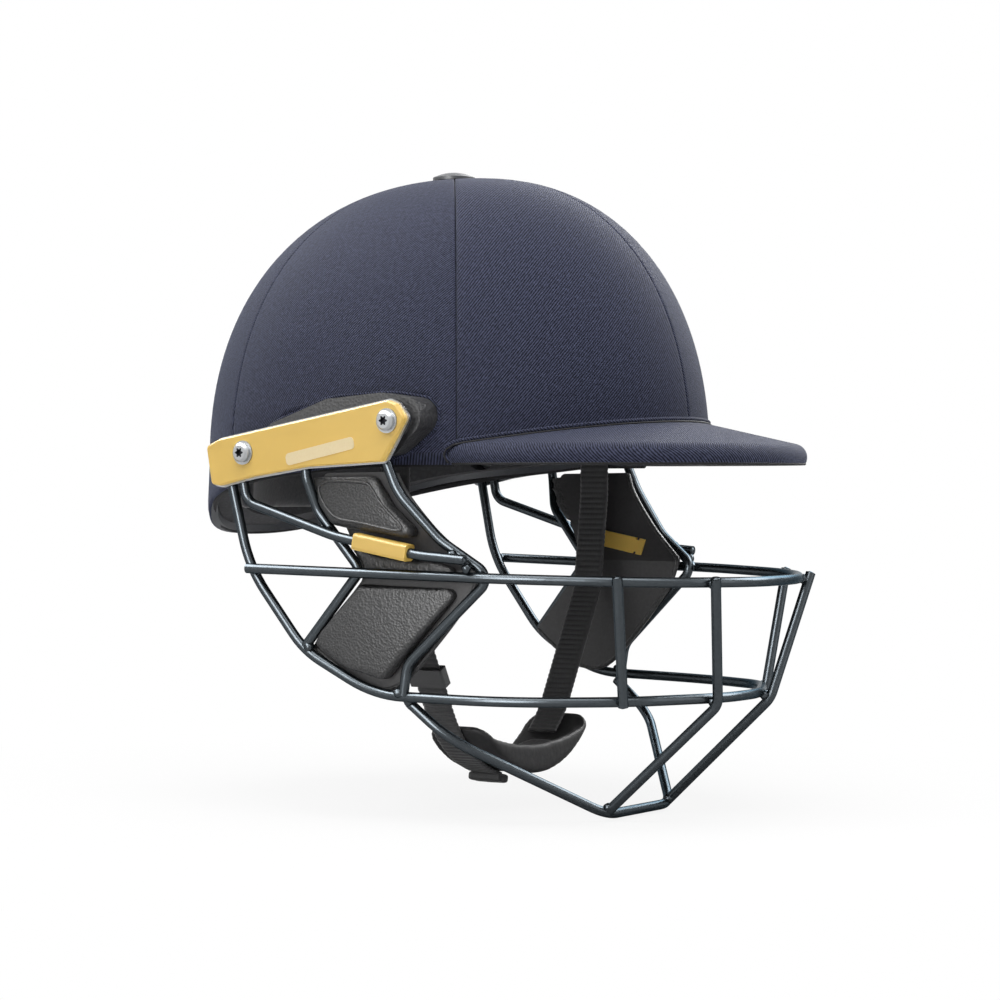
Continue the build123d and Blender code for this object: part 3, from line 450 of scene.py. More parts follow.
def panel_place(start, end, column, row):
    """Crossing of a panel's sheet, drawn inwards next to its seams and its lower edge."""
    side = min(column, panel_columns - column)
    sunk = turned_in[side][1] if side < len(turned_in) else 0.0
    edge = turned_in[min(side, len(turned_in) - 1)][0]

    def turn_at(far):
        first = radians(start) + seam_half_gap / far
        last = radians(end) - seam_half_gap / far
        if side < len(turned_in):
            return first + edge / far if column < panel_columns / 2 else last - edge / far
        inner = len(turned_in) - 1
        share = (column - inner) / (panel_columns - 2 * inner)
        return first + edge / far + (last - first - 2 * edge / far) * share

    turn = turn_at(usual_reach)
    if row <= wall_rows:
        foot = min(0.0, rim_height(crown_wall(turn, 0, 0).x / mm))
        level = foot + (wall_top_level - foot) * (row / wall_rows)
        spot_now = crown_wall(turn, level, 0)
        turn = turn_at(spot_now.xy.length / mm)
        if row < 2:
            sunk = max(sunk, hem_sink - hem_rise * row)
        return crown_wall(turn, level, sunk)
    far_start = crown_wall(turn, wall_top_level, 0).xy.length / mm
    far = far_start + (button_seat - far_start) * (row - wall_rows) / top_rows
    return crown_top(turn_at(far), far, sunk)


twill_turn, twill_scale, thread_scale, slub_scale = radians(-42), 310, 1100, 800
navy_twill = finish(
    "navy_twill", (0.04, 0.046, 0.082), 0.8, Specular_IOR_Level=0.08, Sheen_Weight=0.12,
    Sheen_Tint=(0.7, 0.78, 1.0, 1.0),
)
weave_map = step(navy_twill, "UVMap", {}, uv_map="weave")
weave_way = step(navy_twill, "Mapping", {"Vector": weave_map.outputs[0], "Rotation": (0, 0, twill_turn)})
twill = step(
    navy_twill, "TexWave",
    {
        "Vector": weave_way.outputs[0], "Scale": twill_scale,
        "Distortion": 0.7, "Detail": 1, "Detail Scale": 4,
    },
    wave_type="BANDS", bands_direction="X",
)
drawn_out = step(navy_twill, "Mapping", {"Vector": weave_way.outputs[0], "Scale": (1, 0.4, 1)})
threads = step(navy_twill, "TexNoise", {"Vector": drawn_out.outputs[0], "Scale": thread_scale, "Detail": 2})
both_weaves = step(navy_twill, "Mix", {0: 0.5, 2: twill.outputs["Fac"], 3: threads.outputs["Fac"]})
relief(navy_twill, both_weaves.outputs[0], 0.7, 0.3 * mm)
slubs = step(navy_twill, "TexNoise", {"Vector": weave_map.outputs[0], "Scale": slub_scale, "Detail": 3})
weave_tone = step(navy_twill, "Mix", {0: 0.3, 2: both_weaves.outputs[0], 3: slubs.outputs["Fac"]})
ramp = shades(navy_twill, weave_tone.outputs[0], (0.003, 0.004, 0.01), (0.072, 0.08, 0.14))
ramp.color_ramp.elements[0].position = 0.34
ramp.color_ramp.elements[1].position = 0.7

insert_rear_x, insert_foot_z, insert_length, insert_height = -50.0, -2.0, 98.8, 32.6
insert_corner_radius, window_gap, cutter_start, cutter_depth = 5.5, 0.6, 60.0, 60.0
insert_corner_shares = (
    (-0.04, 0.0), (0.18, 0.63), (0.5, 0.96), (0.8, 1.03), (1.0, 0.94), (1.02, 0.6), (0.88, 0.2), (0.35, 0.0),
)


def window_outline(spread):
    """Rounded outline of the ear moulding in side view, widened all round."""
    corners = [
        Vector((insert_rear_x + insert_length * x, insert_foot_z + insert_height * z))
        for x, z in insert_corner_shares
    ]
    work = bmesh.new()
    face = work.faces.new([work.verts.new((corner.x * mm, 0, corner.y * mm)) for corner in corners])
    bmesh.ops.bevel(
        work, geom=face.verts[:], offset=insert_corner_radius * mm, segments=5, profile=0.5,
        affect="VERTICES", material=-1,
    )
    middle = sum((vert.co for vert in work.verts), Vector()) / len(work.verts)
    outline = [vert.co.copy() for vert in work.faces[:][0].verts]
    work.free()
    return [point + (point - middle).normalized() * spread for point in outline]


def window_cutter(side):
    """Block through the cover with the window's outline."""
    work = bmesh.new()
    outline = window_outline(window_gap * mm)
    face = work.faces.new([work.verts.new((p.x, side * cutter_start * mm, p.z)) for p in outline])
    grown = bmesh.ops.extrude_face_region(work, geom=[face])
    moved = [item for item in grown["geom"] if isinstance(item, bmesh.types.BMVert)]
    bmesh.ops.translate(work, verts=moved, vec=(0, side * cutter_depth * mm, 0))
    bmesh.ops.recalc_face_normals(work, faces=work.faces)
    return from_work("window_cutter", work)


both_sides = ((1, "left"), (-1, "right"))
for part, start, end in zip(("front", "side", "rear"), seam_turns, seam_turns[1:]):
    for side, hand in both_sides:
        sheet = placed_grid(panel_columns, wall_rows + top_rows, lambda c, r: panel_place(start, end, c, r))
        for vert in sheet.verts:
            vert.co.y *= side
        sheet.normal_update()
        sample = sheet.faces[:][len(sheet.faces) // 2]
        if sample.normal.dot(sample.calc_center_median()) < 0:
            bmesh.ops.reverse_faces(sheet, faces=sheet.faces)
        panel = thickened(sheet, f"cloth_{part}_{hand}", cloth_thickness * mm)
        if part == "side":
            cutter = window_cutter(side)
            cut = panel.modifiers.new("window", "BOOLEAN")
            cut.object = cutter
            cut.operation = "DIFFERENCE"
            cut.solver = "EXACT"
        panel = as_mesh(panel)
        if part == "side":
            bpy.data.objects.remove(cutter)
        settle(panel, navy_twill, "helmet", "cloth", f"crown_panel_{part}_{hand}")


# Bindings of the cover: a rolled edge of the same twill round each ear moulding, and a black
# woven tape sewn along the rim from one end of the peak to the other.
def tube(name, points, radius, closed=False):
    """Round cord of cloth or leather along points."""
    curve = bpy.data.curves.new(name, "CURVE")
    curve.dimensions = "3D"
    curve.bevel_depth = radius
    curve.bevel_resolution = 3
    curve.use_fill_caps = not closed
    line = curve.splines.new("POLY")
    line.points.add(len(points) - 1)
    for target, point in zip(line.points, points):
        target.co = (*point, 1)
    line.use_cyclic_u = closed
    return as_mesh(fresh(name, curve))


def side_wall(x, height, inset):
    """Distance from the middle to the crown's wall, from a side view place in millimetres."""
    share = 1 - skirt_flare * height / skirt_depth
    if height > 0:
        share = (1 - (height / crown_height) ** crown_power) ** (1 / crown_power)
    middle, front, rear, half = ring(share, inset)
    along = front if x > middle else rear
    return half * sqrt(1 - ((x - middle) / along) ** 2)


black_tape = grained(
    "black_tape", (0.012, 0.012, 0.014), 0.7, scale=1200, detail=2, strength=0.4, depth=0.2,
    tones=((0.006, 0.006, 0.007), (0.018, 0.018, 0.021)), Specular_IOR_Level=0.2,
)
roll_radius, roll_sink = 0.9, 0.5
rim_tape_radius, rim_tape_inset, rim_tape_lift, rim_tape_tuck = 1.7, 2.9, 0.6, 3
rim_inset, just_below = 2.6, 0.01
for side, hand in both_sides:
    rolled = []
    for point in window_outline(roll_radius * mm):
        out = side_wall(point.x / mm, point.z / mm, roll_sink)
        rolled.append(Vector((point.x, side * out * mm, point.z)))
    window_roll = lay_weave(tube(f"window_roll_{hand}", rolled, roll_radius * mm, closed=True))
    settle(window_roll, navy_twill, "helmet", "cloth")

peak_middle_x, peak_radius, peak_slope = 85.0, 91.5, 0.229
peak_profile = ((86.2, 9.4), (88.6, 8.5), (90.6, 6.6), (91.3, 4.4), (90.8, 2.4), (90.0, 0.6))


def wall_at(turn, height, inset):
    """Place on the crown's wall at a height in millimetres."""
    level = height if height < 0 else degrees(asin((height / (crown_height - inset)) ** (crown_power / 2)))
    return crown_wall(turn, level, inset)


def from_peak_middle(place):
    """Distance in plan from the middle of the peak's round, in millimetres."""
    return Vector((place.x / mm - peak_middle_x, place.y / mm)).length


def turn_where(far, height):
    """Turn about the button where the crown's wall is this far from the peak's middle."""
    low, high = 0.0, radians(120)
    for _ in range(30):
        middle = (low + high) / 2
        if from_peak_middle(wall_at(middle, height, 0)) < far:
            low = middle
        else:
            high = middle
    return high


rim_line, rim_steps = [], 80
rim_start = degrees(turn_where(peak_radius - rim_tape_tuck, 0))
for count in range(rim_steps + 1):
    turn = radians(rim_start + (360 - 2 * rim_start) * count / rim_steps)
    height = rim_height(crown_wall(turn, 0, rim_inset).x / mm)
    low = crown_wall(turn, height - just_below, rim_tape_inset)
    rim_line.append(Vector((low.x, low.y, (height + rim_tape_lift) * mm)))
settle(tube("rim_tape", rim_line, rim_tape_radius * mm), black_tape, "helmet", "cloth")


# Crown button: a low cap of satin dark plastic, riveted through the shell where the panels
# meet.
button_satin = grained(
    "button_satin", (0.05, 0.053, 0.06), 0.42, scale=800, detail=2, strength=0.15, depth=0.1,
    tones=((0.042, 0.045, 0.052), (0.065, 0.068, 0.077)),
)
coat(button_satin, "crown_button")


# Peak: navy twill drawn over the core, and black cloth under it with a bound edge all round.
# A rolled welt is sewn in where the peak meets the crown, with a thin black tube of painted shade under it.
peak_cloth = lay_weave(from_work("peak_cloth", merged_copy("peak_cover_top")))
settle(peak_cloth, navy_twill, "helmet", "cloth", "peak_cover_top")
peak_lining = from_work("peak_lining", merged_copy("peak_cover_underside"))
settle(peak_lining, black_tape, "helmet", "cloth", "peak_cover_underside")

welt_radius, crease_shade_radius = 1.0, 0.45
edge_tape_radius, edge_tape_inset, edge_tape_rise, edge_tape_reach = 0.6, 2.3, 0.55, 120
first_far, first_height = peak_profile[0]
half_joint, joint_steps, height_guess = [], 40, 12.0
for count in range(joint_steps + 1):
    turn, height = turn_where(first_far, first_height) * count / joint_steps, height_guess
    for _ in range(8):
        reached = from_peak_middle(wall_at(turn, height, 0))
        height = first_height + (first_far - reached) * peak_slope
    half_joint.append((turn, height))
half_joint += [(turn_where(far, height), height) for far, height in peak_profile[1:]]
joint = [(-turn, height) for turn, height in reversed(half_joint[1:])] + half_joint


def joint_line(out, lift):
    """Line along the joint of crown and peak, moved out from the wall and up from the peak."""
    return [wall_at(turn, height + lift, -out) for turn, height in joint]


peak_welt = lay_weave(tube("peak_welt", joint_line(out=0.1, lift=1.2), welt_radius * mm))
settle(peak_welt, navy_twill, "helmet", "cloth")
# Painted shade: a thin black tube on the peak, just outside the welt, stands for the shadow of the crease
# under it.
settle(tube("peak_crease_shade", joint_line(out=1.1, lift=0.1), crease_shade_radius * mm), black_tape, "helmet", "cloth")

peak_edge = []
for count in range(-edge_tape_reach, edge_tape_reach + 1):
    turn = radians(count)
    x = peak_middle_x + (peak_radius - edge_tape_inset) * cos(turn)
    y = (peak_radius - edge_tape_inset) * sin(turn)
    if share_over(x, y, 0) > 1:
        peak_edge.append(Vector((x, y, edge_tape_rise)) * mm)
settle(tube("peak_edge_tape", peak_edge, edge_tape_radius * mm), black_tape, "helmet", "cloth")


# Ear mouldings: black rubbery plastic with a fine leather grain and rounded outer edges, one
# in the cut-out of the cover above each ear, held under the side plate.
black_moulding = finish("black_moulding", (0.02, 0.02, 0.021), 0.45)
moulding_grain = step(black_moulding, "TexVoronoi", {"Vector": spot(black_moulding), "Scale": 750})
relief(black_moulding, moulding_grain.outputs["Distance"], 0.5, 0.3 * mm)
shades(black_moulding, moulding_grain.outputs["Distance"], (0.018, 0.018, 0.019), (0.05, 0.05, 0.052))
coat(black_moulding, "side_insert_left", "side_insert_right")


# Brackets, screws, washers, nuts and rivets: bright brushed steel. The brackets carry the grille's
# wires, and the pan head screws fix them to the shell, their six-lobed sockets painted as dark shade.
bright_steel = finish("bright_steel", (0.4, 0.41, 0.42), 0.28, Metallic=1.0)
drawn_places = {"Vector": spot(bright_steel, scale=(1, 1, 14)), "Scale": 160, "Detail": 3}
brushing = step(bright_steel, "TexNoise", drawn_places)
relief(bright_steel, brushing.outputs["Fac"], 0.12, 0.1 * mm)
shades(bright_steel, brushing.outputs["Fac"], 0.22, 0.36, "Roughness")
coat(
    bright_steel, "grille_bracket_left", "grille_bracket_right", "screw_washers", "t_nuts", "button_rivet",
    "strap_rivets",
)

screw_steel = finish("screw_steel", (0.38, 0.39, 0.4), 0.3, Metallic=1.0)
screw_place = step(screw_steel, "TexCoord", {}).outputs["Object"]
socket_radius, lobe_height, socket_lobes = 1.85, 0.42, 6.0
screw_places = ((-40.0, 5.6), (39.4, 19.0))


def sum_step(operation, first, second=0.0, third=0.0):
    """One sum of the painted shade in the screws' sockets."""
    return step(screw_steel, "Math", {0: first, 1: second, 2: third}, operation=operation).outputs[0]


# Painted shade: each socket is a dark six-lobed star painted on the flat head, where the recess would be in
# shade.
socket_shade = None
for x, z in screw_places:
    from_screw = {0: screw_place, 1: (x * mm, 0, z * mm)}
    off = step(screw_steel, "VectorMath", from_screw, operation="SUBTRACT")
    parted = step(screw_steel, "SeparateXYZ", {0: off.outputs[0]})
    about = sum_step("ARCTAN2", parted.outputs["Z"], parted.outputs["X"])
    lobes = sum_step("COSINE", sum_step("MULTIPLY", about, socket_lobes))
    edge = sum_step("MULTIPLY_ADD", lobes, lobe_height * mm, socket_radius * mm)
    flat = step(screw_steel, "VectorMath", {0: off.outputs[0], 1: (1, 0, 1)}, operation="MULTIPLY")
    far_off = step(screw_steel, "VectorMath", {0: flat.outputs[0]}, operation="LENGTH")
    inside = sum_step("LESS_THAN", far_off.outputs["Value"], edge)
    socket_shade = sum_step("MAXIMUM", socket_shade, inside) if socket_shade else inside
# Painted shade: the steel turns near black inside each socket's outline.
shades(screw_steel, socket_shade, (0.38, 0.39, 0.4), (0.03, 0.03, 0.035))
turning_marks = step(screw_steel, "TexNoise", {"Vector": spot(screw_steel), "Scale": 700, "Detail": 2})
relief(screw_steel, turning_marks.outputs["Fac"], 0.1, 0.1 * mm)
coat(screw_steel, "plate_screws")


# Side plates and pad clips: yellow moulded plastic, a little glossy, with a faint flow mark.
# Each plate bears a bare pale strip below its middle.
yellow_plastic = finish("yellow_plastic", (0.86, 0.56, 0.12), 0.42)
flow_places = {"Vector": spot(yellow_plastic, scale=(1, 1, 3)), "Scale": 26, "Detail": 3}
flow = step(yellow_plastic, "TexNoise", flow_places)
shades(yellow_plastic, flow.outputs["Fac"], (0.81, 0.52, 0.105), (0.91, 0.61, 0.14))
fine_skin = step(yellow_plastic, "TexNoise", {"Vector": spot(yellow_plastic), "Scale": 1400, "Detail": 2})
relief(yellow_plastic, fine_skin.outputs["Fac"], 0.12, 0.1 * mm)
coat(yellow_plastic, "pad_clip_left", "pad_clip_right", "side_plate_left", "side_plate_right")

pale_strip = grained(
    "pale_strip", (0.87, 0.66, 0.33), 0.42, scale=900, detail=2, strength=0.1, depth=0.1,
    tones=((0.9, 0.72, 0.4), (0.96, 0.8, 0.5)),
)
strip_middle, strip_turn = Vector((3.0, 108.95, 6.0)), radians(11.5)
strip_length, strip_height, strip_thickness, strip_corner = 38.0, 5.4, 0.3, 1.9
for side, hand in both_sides:
    work = bmesh.new()
    block = Matrix.Diagonal((strip_length * mm, strip_thickness * mm, strip_height * mm, 1))
    bmesh.ops.create_cube(work, size=1, matrix=block)
    upright = [
        edge for edge in work.edges if abs(edge.verts[0].co.y - edge.verts[1].co.y) > strip_thickness * mm / 3
    ]
    bmesh.ops.bevel(
        work, geom=upright, offset=strip_corner * mm, segments=6, profile=0.5, affect="EDGES", material=-1
    )
    bmesh.ops.rotate(work, verts=work.verts, matrix=Matrix.Rotation(-strip_turn, 3, "Y"))
    bmesh.ops.translate(work, verts=work.verts, vec=strip_middle * mm)
    for vert in work.verts:
        vert.co.y *= side
    bmesh.ops.recalc_face_normals(work, faces=work.faces)
    strip = from_work(f"plate_strip_{hand}", work)
    settle(strip, pale_strip, "helmet", "plate_yellow")
    for face in strip.data.polygons:
        face.use_smooth = False


# Grille: round steel wires in a dark satin coat, bent to shape, each welded to its neighbours
# with a small bead and cut off with a domed end.
dark_coat = grained(
    "dark_coat", (0.055, 0.063, 0.069), 0.27, scale=500, detail=4, strength=0.1, depth=0.12,
    tones=((0.045, 0.052, 0.058), (0.066, 0.075, 0.082)), Metallic=0.9, Specular_Tint=(0.3, 0.34, 0.37, 1.0),
)
wire_names = ["upper_bar", "lower_bar", "chin_bar"] + [
    f"{wire}_{hand}"
    for wire in ("outer_bar", "inner_bar", "brace_wire", "front_side_wire", "rear_side_wire")
    for _, hand in both_sides
]
coat(dark_coat, *wire_names)
sampled_edges = {}
nearest_few, lump_scale, lump_height = 6, 480, 0.16


def along_edges(node, side):
    """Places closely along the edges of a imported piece, on one side of the helmet."""
    if (node, side) in sampled_edges:
        return sampled_edges[node, side]
    mesh = nodes[node].data
    places = []
    for edge in mesh.edges:
        first, last = (mesh.vertices[index].co for index in edge.vertices)
        if first.y * side > 0 and last.y * side > 0:
            pieces = max(1, int((last - first).length / mm))
            places += [first.lerp(last, count / pieces) for count in range(pieces)]
    sampled_edges[node, side] = places
    return places


def meeting(first, second, side):
    """Middle of the place where two wires lie nearest to each other, on one side."""
    there = along_edges(second, side)
    tree = kdtree.KDTree(len(there))
    for index, place in enumerate(there):
        tree.insert(place, index)
    tree.balance()
    here = along_edges(first, side)
    near = sorted((tree.find(place)[2], index) for index, place in enumerate(here))[:nearest_few]
    spots = [(here[index] + tree.find(here[index])[0]) / 2 for _, index in near]
    return sum(spots, Vector()) / len(spots)


def weld_bead(name, place, radius, seed):
    """Small uneven lump of weld."""
    work = bmesh.new()
    bmesh.ops.create_icosphere(work, subdivisions=3, radius=radius)
    for vert in work.verts:
        lumpy = noise.noise(vert.co * lump_scale + Vector((seed, 0, 0)))
        vert.co *= 1 + lump_height * lumpy
    bmesh.ops.translate(work, verts=work.verts, vec=place)
    return settle(from_work(name, work), dark_coat, "helmet", "wire_finish")


joined = (
    ("outer_bar_{}", "upper_bar", 2.3),
    ("outer_bar_{}", "lower_bar", 2.3),
    ("inner_bar_{}", "upper_bar", 2.3),
    ("inner_bar_{}", "lower_bar", 2.3),
    ("inner_bar_{}", "chin_bar", 2.5),
    ("rear_side_wire_{}", "upper_bar", 2.3),
    ("rear_side_wire_{}", "lower_bar", 2.5),
    ("front_side_wire_{}", "upper_bar", 2.4),
    ("front_side_wire_{}", "lower_bar", 2.5),
    ("lower_bar", "upper_bar", 2.3),
    ("chin_bar", "lower_bar", 2.4),
    ("brace_wire_{}", "front_side_wire_{}", 2.3),
    ("brace_wire_{}", "rear_side_wire_{}", 2.2),
    ("brace_wire_{}", "upper_bar", 2.2),
)
for first, second, radius in joined:
    for side, hand in both_sides:
        spot_now = meeting(first.format(hand), second.format(hand), side)
        name = f"weld_{first.format(hand)}_{second.format(hand)}_{hand}".replace(f"_{hand}_", "_")
        weld_bead(name, spot_now, radius * mm, len(name) + (7 if hand == "left" else 0))

end_cap_radius, end_cap_sink, end_corner, out_of_round = 2.22, 1.5, 1.2, 0.1

for wire in wire_names:
    work = merged_copy(wire)
    work.verts.index_update()
    rims = [
        edge for edge in work.edges if len(edge.link_faces) == 2 and edge.calc_face_angle() > end_corner
    ]
    loops = []
    for edge in rims:
        ends = set(edge.verts)
        touched = [loop for loop in loops if loop & ends]
        loops = [loop for loop in loops if not loop & ends] + [set().union(ends, *touched)]
    for count, loop in enumerate(loops):
        middle = sum((vert.co for vert in loop), Vector()) / len(loop)
        spread = [(vert.co - middle).length for vert in loop]
        outward = [face.normal for vert in loop for face in vert.link_faces if set(face.verts) <= loop]
        if max(spread) - min(spread) < out_of_round * mm and outward:
            inner = middle - outward[0] * end_cap_sink * mm
            weld_bead(f"end_{wire}_{count}", inner, end_cap_radius * mm, count)


# Cheek pads: a thin black board with a bound edge, and three cushions of grained leatherette
# sewn on outside it, stuffed so that each swells between its edges. The upper has piping.
blown_frames, facing_out = 20, 0.45


def stuffed(name, node, side, grain, most):
    """Soft copy of a cushion, blown up under its cover while its back and its sides are held."""
    piece = plump(name, node, grain, rounds=3)
    start = [vert.co.copy() for vert in piece.data.vertices]
    held = piece.vertex_groups.new(name="held")
    for vert in piece.data.vertices:
        if vert.normal.y * side < facing_out:
            held.add([vert.index], 1.0, "ADD")
    cover = piece.modifiers.new("cover", "CLOTH")
    cover.settings.use_pressure = True
    cover.settings.uniform_pressure_force = 4
    cover.settings.tension_stiffness = 20
    cover.settings.compression_stiffness = 20
    cover.settings.bending_stiffness = 2
    cover.settings.effector_weights.gravity = 0
    cover.settings.vertex_group_mass = "held"
    cover.point_cache.frame_start = 1
    cover.point_cache.frame_end = blown_frames
    for frame_number in range(1, blown_frames + 1):
        bpy.context.scene.frame_set(frame_number)
        bpy.context.view_layer.update()
    piece = as_mesh(piece)
    bpy.context.scene.frame_set(1)
    for vert, place in zip(piece.data.vertices, start):
        shift = vert.co - place
        vert.co = place + shift * min(1, most / max(shift.length, 0.001 * mm))
    return piece


pad_leather = finish("pad_leather", (0.04, 0.04, 0.041), 0.42, Specular_IOR_Level=0.35)
pore_places = {"Vector": spot(pad_leather), "Scale": 900, "Randomness": 1.0}
pores = step(pad_leather, "TexVoronoi", pore_places)
creases = step(pad_leather, "TexNoise", {"Vector": spot(pad_leather), "Scale": 260, "Detail": 5})
relief(pad_leather, pores.outputs["Distance"], 0.6, 0.3 * mm)
relief(pad_leather, creases.outputs["Fac"], 0.3, 0.5 * mm)
shades(pad_leather, pores.outputs["Distance"], (0.022, 0.022, 0.023), (0.06, 0.06, 0.061))
board_black = grained(
    "board_black", (0.028, 0.027, 0.029), 0.5, scale=700, detail=3, strength=0.3, depth=0.2,
    tones=((0.02, 0.019, 0.02), (0.042, 0.04, 0.043)),
)
coat(board_black, "cheek_board_left", "cheek_board_right")

pad_reach, pad_depth, cage_half_width = 79.5, 102.0, 104.3
board_limits, board_wall, bend_rounds, outside_pads = (-20.0, 85.0), 1.5, 3, 130.0
cushion_swells = (("upper", 1.1, 1.4), ("middle", 0.9, 0.3), ("lower", 1.2, 1.4))
binding_radius, binding_inset, piping_radius, piping_inset = 1.15, 0.9, 0.7, 4.6
board_twist_shares = (
    (0.0, 0.944, 0.944), (0.284, 0.892, 0.878), (0.451, 0.893, 0.803), (0.784, 0.89, 0.8),
    (1.03, 0.863, 0.81),
)
board_edge_shares = (
    (0.465, 0.03), (0.515, 0.12), (0.69, 0.284), (0.82, 0.373), (0.93, 0.44), (0.85, 0.588),
    (0.51, 0.889), (0.39, 0.965), (0.29, 0.985), (0.187, 0.975), (-0.021, 0.885), (-0.165, 0.8),
)
upper_face_shares = (
    (-0.128, 0.045), (0.31, 0.035), (0.36, 0.055), (0.445, 0.18), (0.645, 0.325), (0.234, 0.288),
    (0.03, 0.262), (-0.08, 0.16),
)


def smooth_line(corners, closed):
    """Line through side view corners, its bends worn round."""
    for _ in range(bend_rounds):
        pairs = zip(corners, corners[1:] + corners[:1] if closed else corners[1:])
        cut = [point for a, b in pairs for point in (a.lerp(b, 0.25), a.lerp(b, 0.75))]
        corners = cut if closed else [corners[0]] + cut + [corners[-1]]
    return corners


def pad_corners(shares, inset):
    """Corners in side view, from shares of the pad's reach and depth, drawn in a little."""
    corners = [Vector((pad_reach * x, -pad_depth * z)) for x, z in shares]
    middle = sum(corners, Vector((0, 0))) / len(corners)
    return [corner + (middle - corner).normalized() * inset for corner in corners]


def board_y(x, z):
    """Distance from the middle to the board's mid thickness, in millimetres."""
    depth = -z / pad_depth
    for above, below in zip(board_twist_shares, board_twist_shares[1:]):
        if depth <= below[0] or below is board_twist_shares[-1]:
            down = (depth - above[0]) / (below[0] - above[0])
            forward = (x - board_limits[0]) / (board_limits[1] - board_limits[0])
            rear, front = (a + (b - a) * down for a, b in zip(above[1:], below[1:]))
            return cage_half_width * (rear + (front - rear) * forward) + board_wall / 2


board_line = smooth_line(pad_corners(board_edge_shares, binding_inset), closed=False)
face_line = smooth_line(pad_corners(upper_face_shares, piping_inset), closed=True)
for side, hand in both_sides:
    edge_places = [Vector((p.x, side * board_y(p.x, p.y), p.y)) * mm for p in board_line]
    binding = tube(f"board_binding_{hand}", edge_places, binding_radius * mm)
    settle(binding, pad_leather, "helmet", "pad_board")
    for part, grain, most in cushion_swells:
        node = f"cheek_pad_{part}_{hand}"
        cushion = stuffed(f"soft_{node}", node, side, grain * mm, most * mm)
        settle(cushion, pad_leather, "helmet", "pad_leather", node)
        if part == "upper":
            faces = [face.vertices for face in cushion.data.polygons]
            skin = BVHTree.FromPolygons([vert.co for vert in cushion.data.vertices], faces)
            beside = [(p.x * mm, side * outside_pads * mm, p.y * mm) for p in face_line]
            hits = [skin.ray_cast(place, (0, -side, 0))[0] for place in beside]
            line = [hit for hit in hits if hit]
            for _ in range(5):
                turned_back, turned_on = line[-1:] + line[:-1], line[1:] + line[:1]
                line = [(a + b * 2 + c) / 4 for a, b, c in zip(turned_back, line, turned_on)]
            piping = tube(f"pad_piping_{hand}", line, piping_radius * mm, closed=True)
            settle(piping, pad_leather, "helmet", "pad_leather")


# Chin strap: black webbing woven with cross ribs, one length on each side, riveted inside the
# shell and threaded round the cup. The right one ends in a sewn hem.
strap_middle_x, strap_width, strap_thickness = 26.0, 16.0, 1.6
strap_hang_y, strap_top_z, strap_knee, strap_jaw = 84.0, 16.0, (84.0, -14.0), (77.5, -60.0)
cup_middle, cup_radius, cup_thickness = (2.8, -85.0), 56.0, 3.4
strap_pitch, strap_gap = 0.43, 0.3
left_end_turn, right_end_turn = -52, -78


def strap_line(middle, radius, end_turn):
    """Line of the webbing in the plane across the helmet, from its rivet down and round the cup."""
    run, rise = strap_jaw[0] - middle[0], strap_jaw[1] - middle[1]
    touch = atan2(rise, run) - acos(radius / sqrt(run**2 + rise**2))
    steps = 40
    arc = [touch + (radians(end_turn) - touch) * i / steps for i in range(steps + 1)]
    ends = [Vector((strap_hang_y, strap_top_z)), Vector(strap_knee), Vector(strap_jaw)]
    ends.append(Vector((middle[0] + radius * cos(touch), middle[1] + radius * sin(touch))))
    line = []
    for first, last in zip(ends, ends[1:]):
        pieces = max(2, int((last - first).length / strap_pitch))
        line += [first.lerp(last, i / pieces) for i in range(pieces)]
    for first, last in zip(arc, arc[1:]):
        pieces = max(1, round(radius * abs(last - first) / strap_pitch))
        line += [
            Vector((middle[0] + radius * cos(a), middle[1] + radius * sin(a)))
            for a in (first + (last - first) * i / pieces for i in range(pieces))
        ]
    for _ in range(60):
        between = [(a + b * 2 + c) / 4 for a, b, c in zip(line, line[1:], line[2:])]
        line = [line[0]] + between + [line[-1]]
    return line


black_webbing = grained(
    "black_webbing", (0.018, 0.018, 0.02), 0.75, scale=420, detail=3, strength=0.5, depth=0.3,
    tones=((0.01, 0.01, 0.011), (0.034, 0.034, 0.037)), stretch=(6, 1, 1), Sheen_Weight=0.25,
)
rib_pitch, rib_height, rib_roundness, webbing_columns = 2.6, 0.42, 0.6, 12
edge_thickness_share, edge_scallop, edge_inset = 0.45, 0.6, 0.3


def webbing(name, line, side):
    """Strap along a line, with ribs across both its faces and scalloped edges."""
    lengths = [0.0]
    for first, last in zip(line, line[1:]):
        lengths.append(lengths[-1] + (last - first).length)
    half = strap_thickness / 2 - rib_height / 2
    round_about = 2 * webbing_columns + 2

    def place(column, row):
        column %= round_about
        outer = column <= webbing_columns
        across = (column if outer else round_about - 1 - column) / webbing_columns * 2 - 1
        before, after = line[max(0, row - 1)], line[min(len(line) - 1, row + 1)]
        heading = (after - before).normalized()
        out = Vector((-heading.y, heading.x)) * (1 if outer else -1)
        rib = rib_height * (abs(sin(pi * lengths[row] / rib_pitch)) ** rib_roundness - 0.5)
        point = line[row] + out * (half + rib) * (1 if abs(across) < 1 else edge_thickness_share)
        reach_out = across * (strap_width / 2 + edge_scallop * rib - edge_inset)
        return Vector((strap_middle_x + reach_out, side * point.x, point.y)) * mm

    work = placed_grid(round_about, len(line) - 1, place)
    bmesh.ops.remove_doubles(work, verts=work.verts, dist=0.001 * mm)
    bmesh.ops.holes_fill(work, edges=[edge for edge in work.edges if edge.is_boundary], sides=0)
    bmesh.ops.recalc_face_normals(work, faces=work.faces)
    return from_work(name, work)


inside_radius = cup_radius - cup_thickness / 2 - strap_gap - strap_thickness / 2
outside_radius = cup_radius + cup_thickness / 2 + strap_gap + strap_thickness / 2
left_line = strap_line(cup_middle, inside_radius, left_end_turn)
left_webbing = webbing("ribbed_webbing_left", left_line, 1)
settle(left_webbing, black_webbing, "chin_strap", "webbing", "strap_webbing_left")
right_line = strap_line((-cup_middle[0], cup_middle[1]), outside_radius, right_end_turn)
right_webbing = webbing("ribbed_webbing_right", right_line, -1)
settle(right_webbing, black_webbing, "chin_strap", "webbing", "strap_webbing_right")

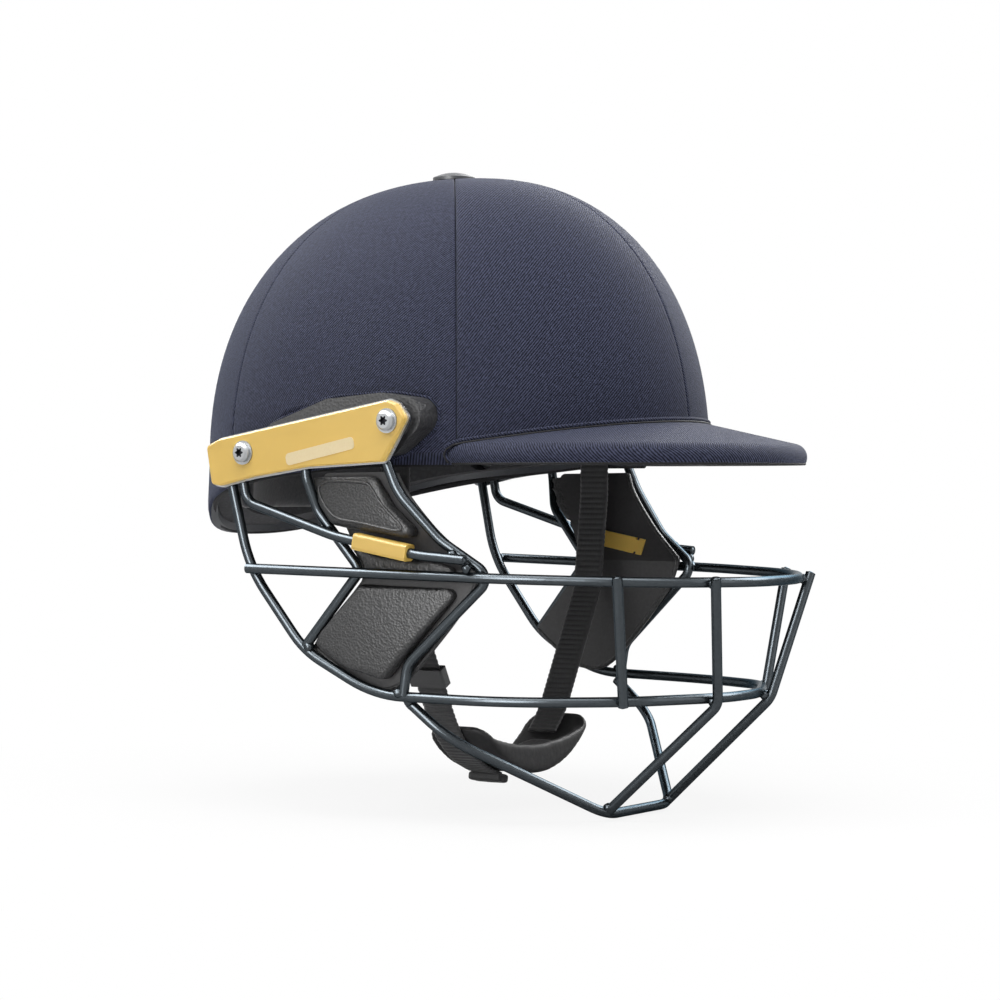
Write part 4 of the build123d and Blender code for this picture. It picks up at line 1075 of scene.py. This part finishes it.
hem_length, hem_width, hem_thickness, hem_corner = 18, 9, 4.4, 1.8
hem_lift, hem_gather, gather_pitch = 2.2, 0.05, 2.1
hem_turn = radians(right_end_turn)
hem_out = Vector((0, -cos(hem_turn), sin(hem_turn)))
hem_way = Vector((0, sin(hem_turn), cos(hem_turn)))
hem_place = Vector((0, cup_middle[0], cup_middle[1])) + hem_out * (outside_radius + hem_lift)
work = bmesh.new()
hem_block = Matrix.Diagonal((hem_length * mm, hem_width * mm, hem_thickness * mm, 1))
bmesh.ops.create_cube(work, size=1, matrix=hem_block)
bmesh.ops.bevel(
    work, geom=work.edges[:], offset=hem_corner * mm, segments=5, profile=0.5, affect="EDGES", material=-1
)
bmesh.ops.subdivide_edges(work, edges=work.edges[:], cuts=3, use_grid_fill=True)
for vert in work.verts:
    vert.co *= 1 - hem_gather * abs(sin(pi * vert.co.x / (gather_pitch * mm)))
    along_it = vert.co.copy()
    vert.co = (hem_place + Vector((strap_middle_x, 0, 0))) * mm
    vert.co += Vector((along_it.x, 0, 0)) + hem_way * along_it.y + hem_out * along_it.z
bmesh.ops.recalc_face_normals(work, faces=work.faces)
settle(from_work("webbing_hem", work), black_webbing, "chin_strap", "webbing")


# Chin cup: a soft leatherette band under the chin with a brushed lining stuck inside it, held
# by the webbing that runs through it.
cup_leather = grained(
    "cup_leather", (0.025, 0.025, 0.026), 0.55, scale=420, detail=4, strength=0.4, depth=0.35,
    tones=((0.014, 0.014, 0.015), (0.036, 0.035, 0.037)), Specular_IOR_Level=0.25,
)
soft_cup = plump("soft_chin_cup", "chin_cup", grain=1.1 * mm, rounds=6)
settle(soft_cup, cup_leather, "chin_strap", "cup_leather", "chin_cup")
soft_lining = plump("soft_chin_lining", "chin_cup_lining", grain=0.7 * mm, rounds=3)
settle(soft_lining, brushed_cloth, "chin_strap", "cup_lining", "chin_cup_lining")


# Slider: a loop of satin black plastic, moulded, that grips the right webbing and is pushed
# along it to set the strap.
slider_black = grained(
    "slider_black", (0.03, 0.03, 0.033), 0.35, scale=900, detail=2, strength=0.15, depth=0.1,
    tones=((0.024, 0.024, 0.026), (0.045, 0.045, 0.048)),
)
coat(slider_black, "strap_slider")
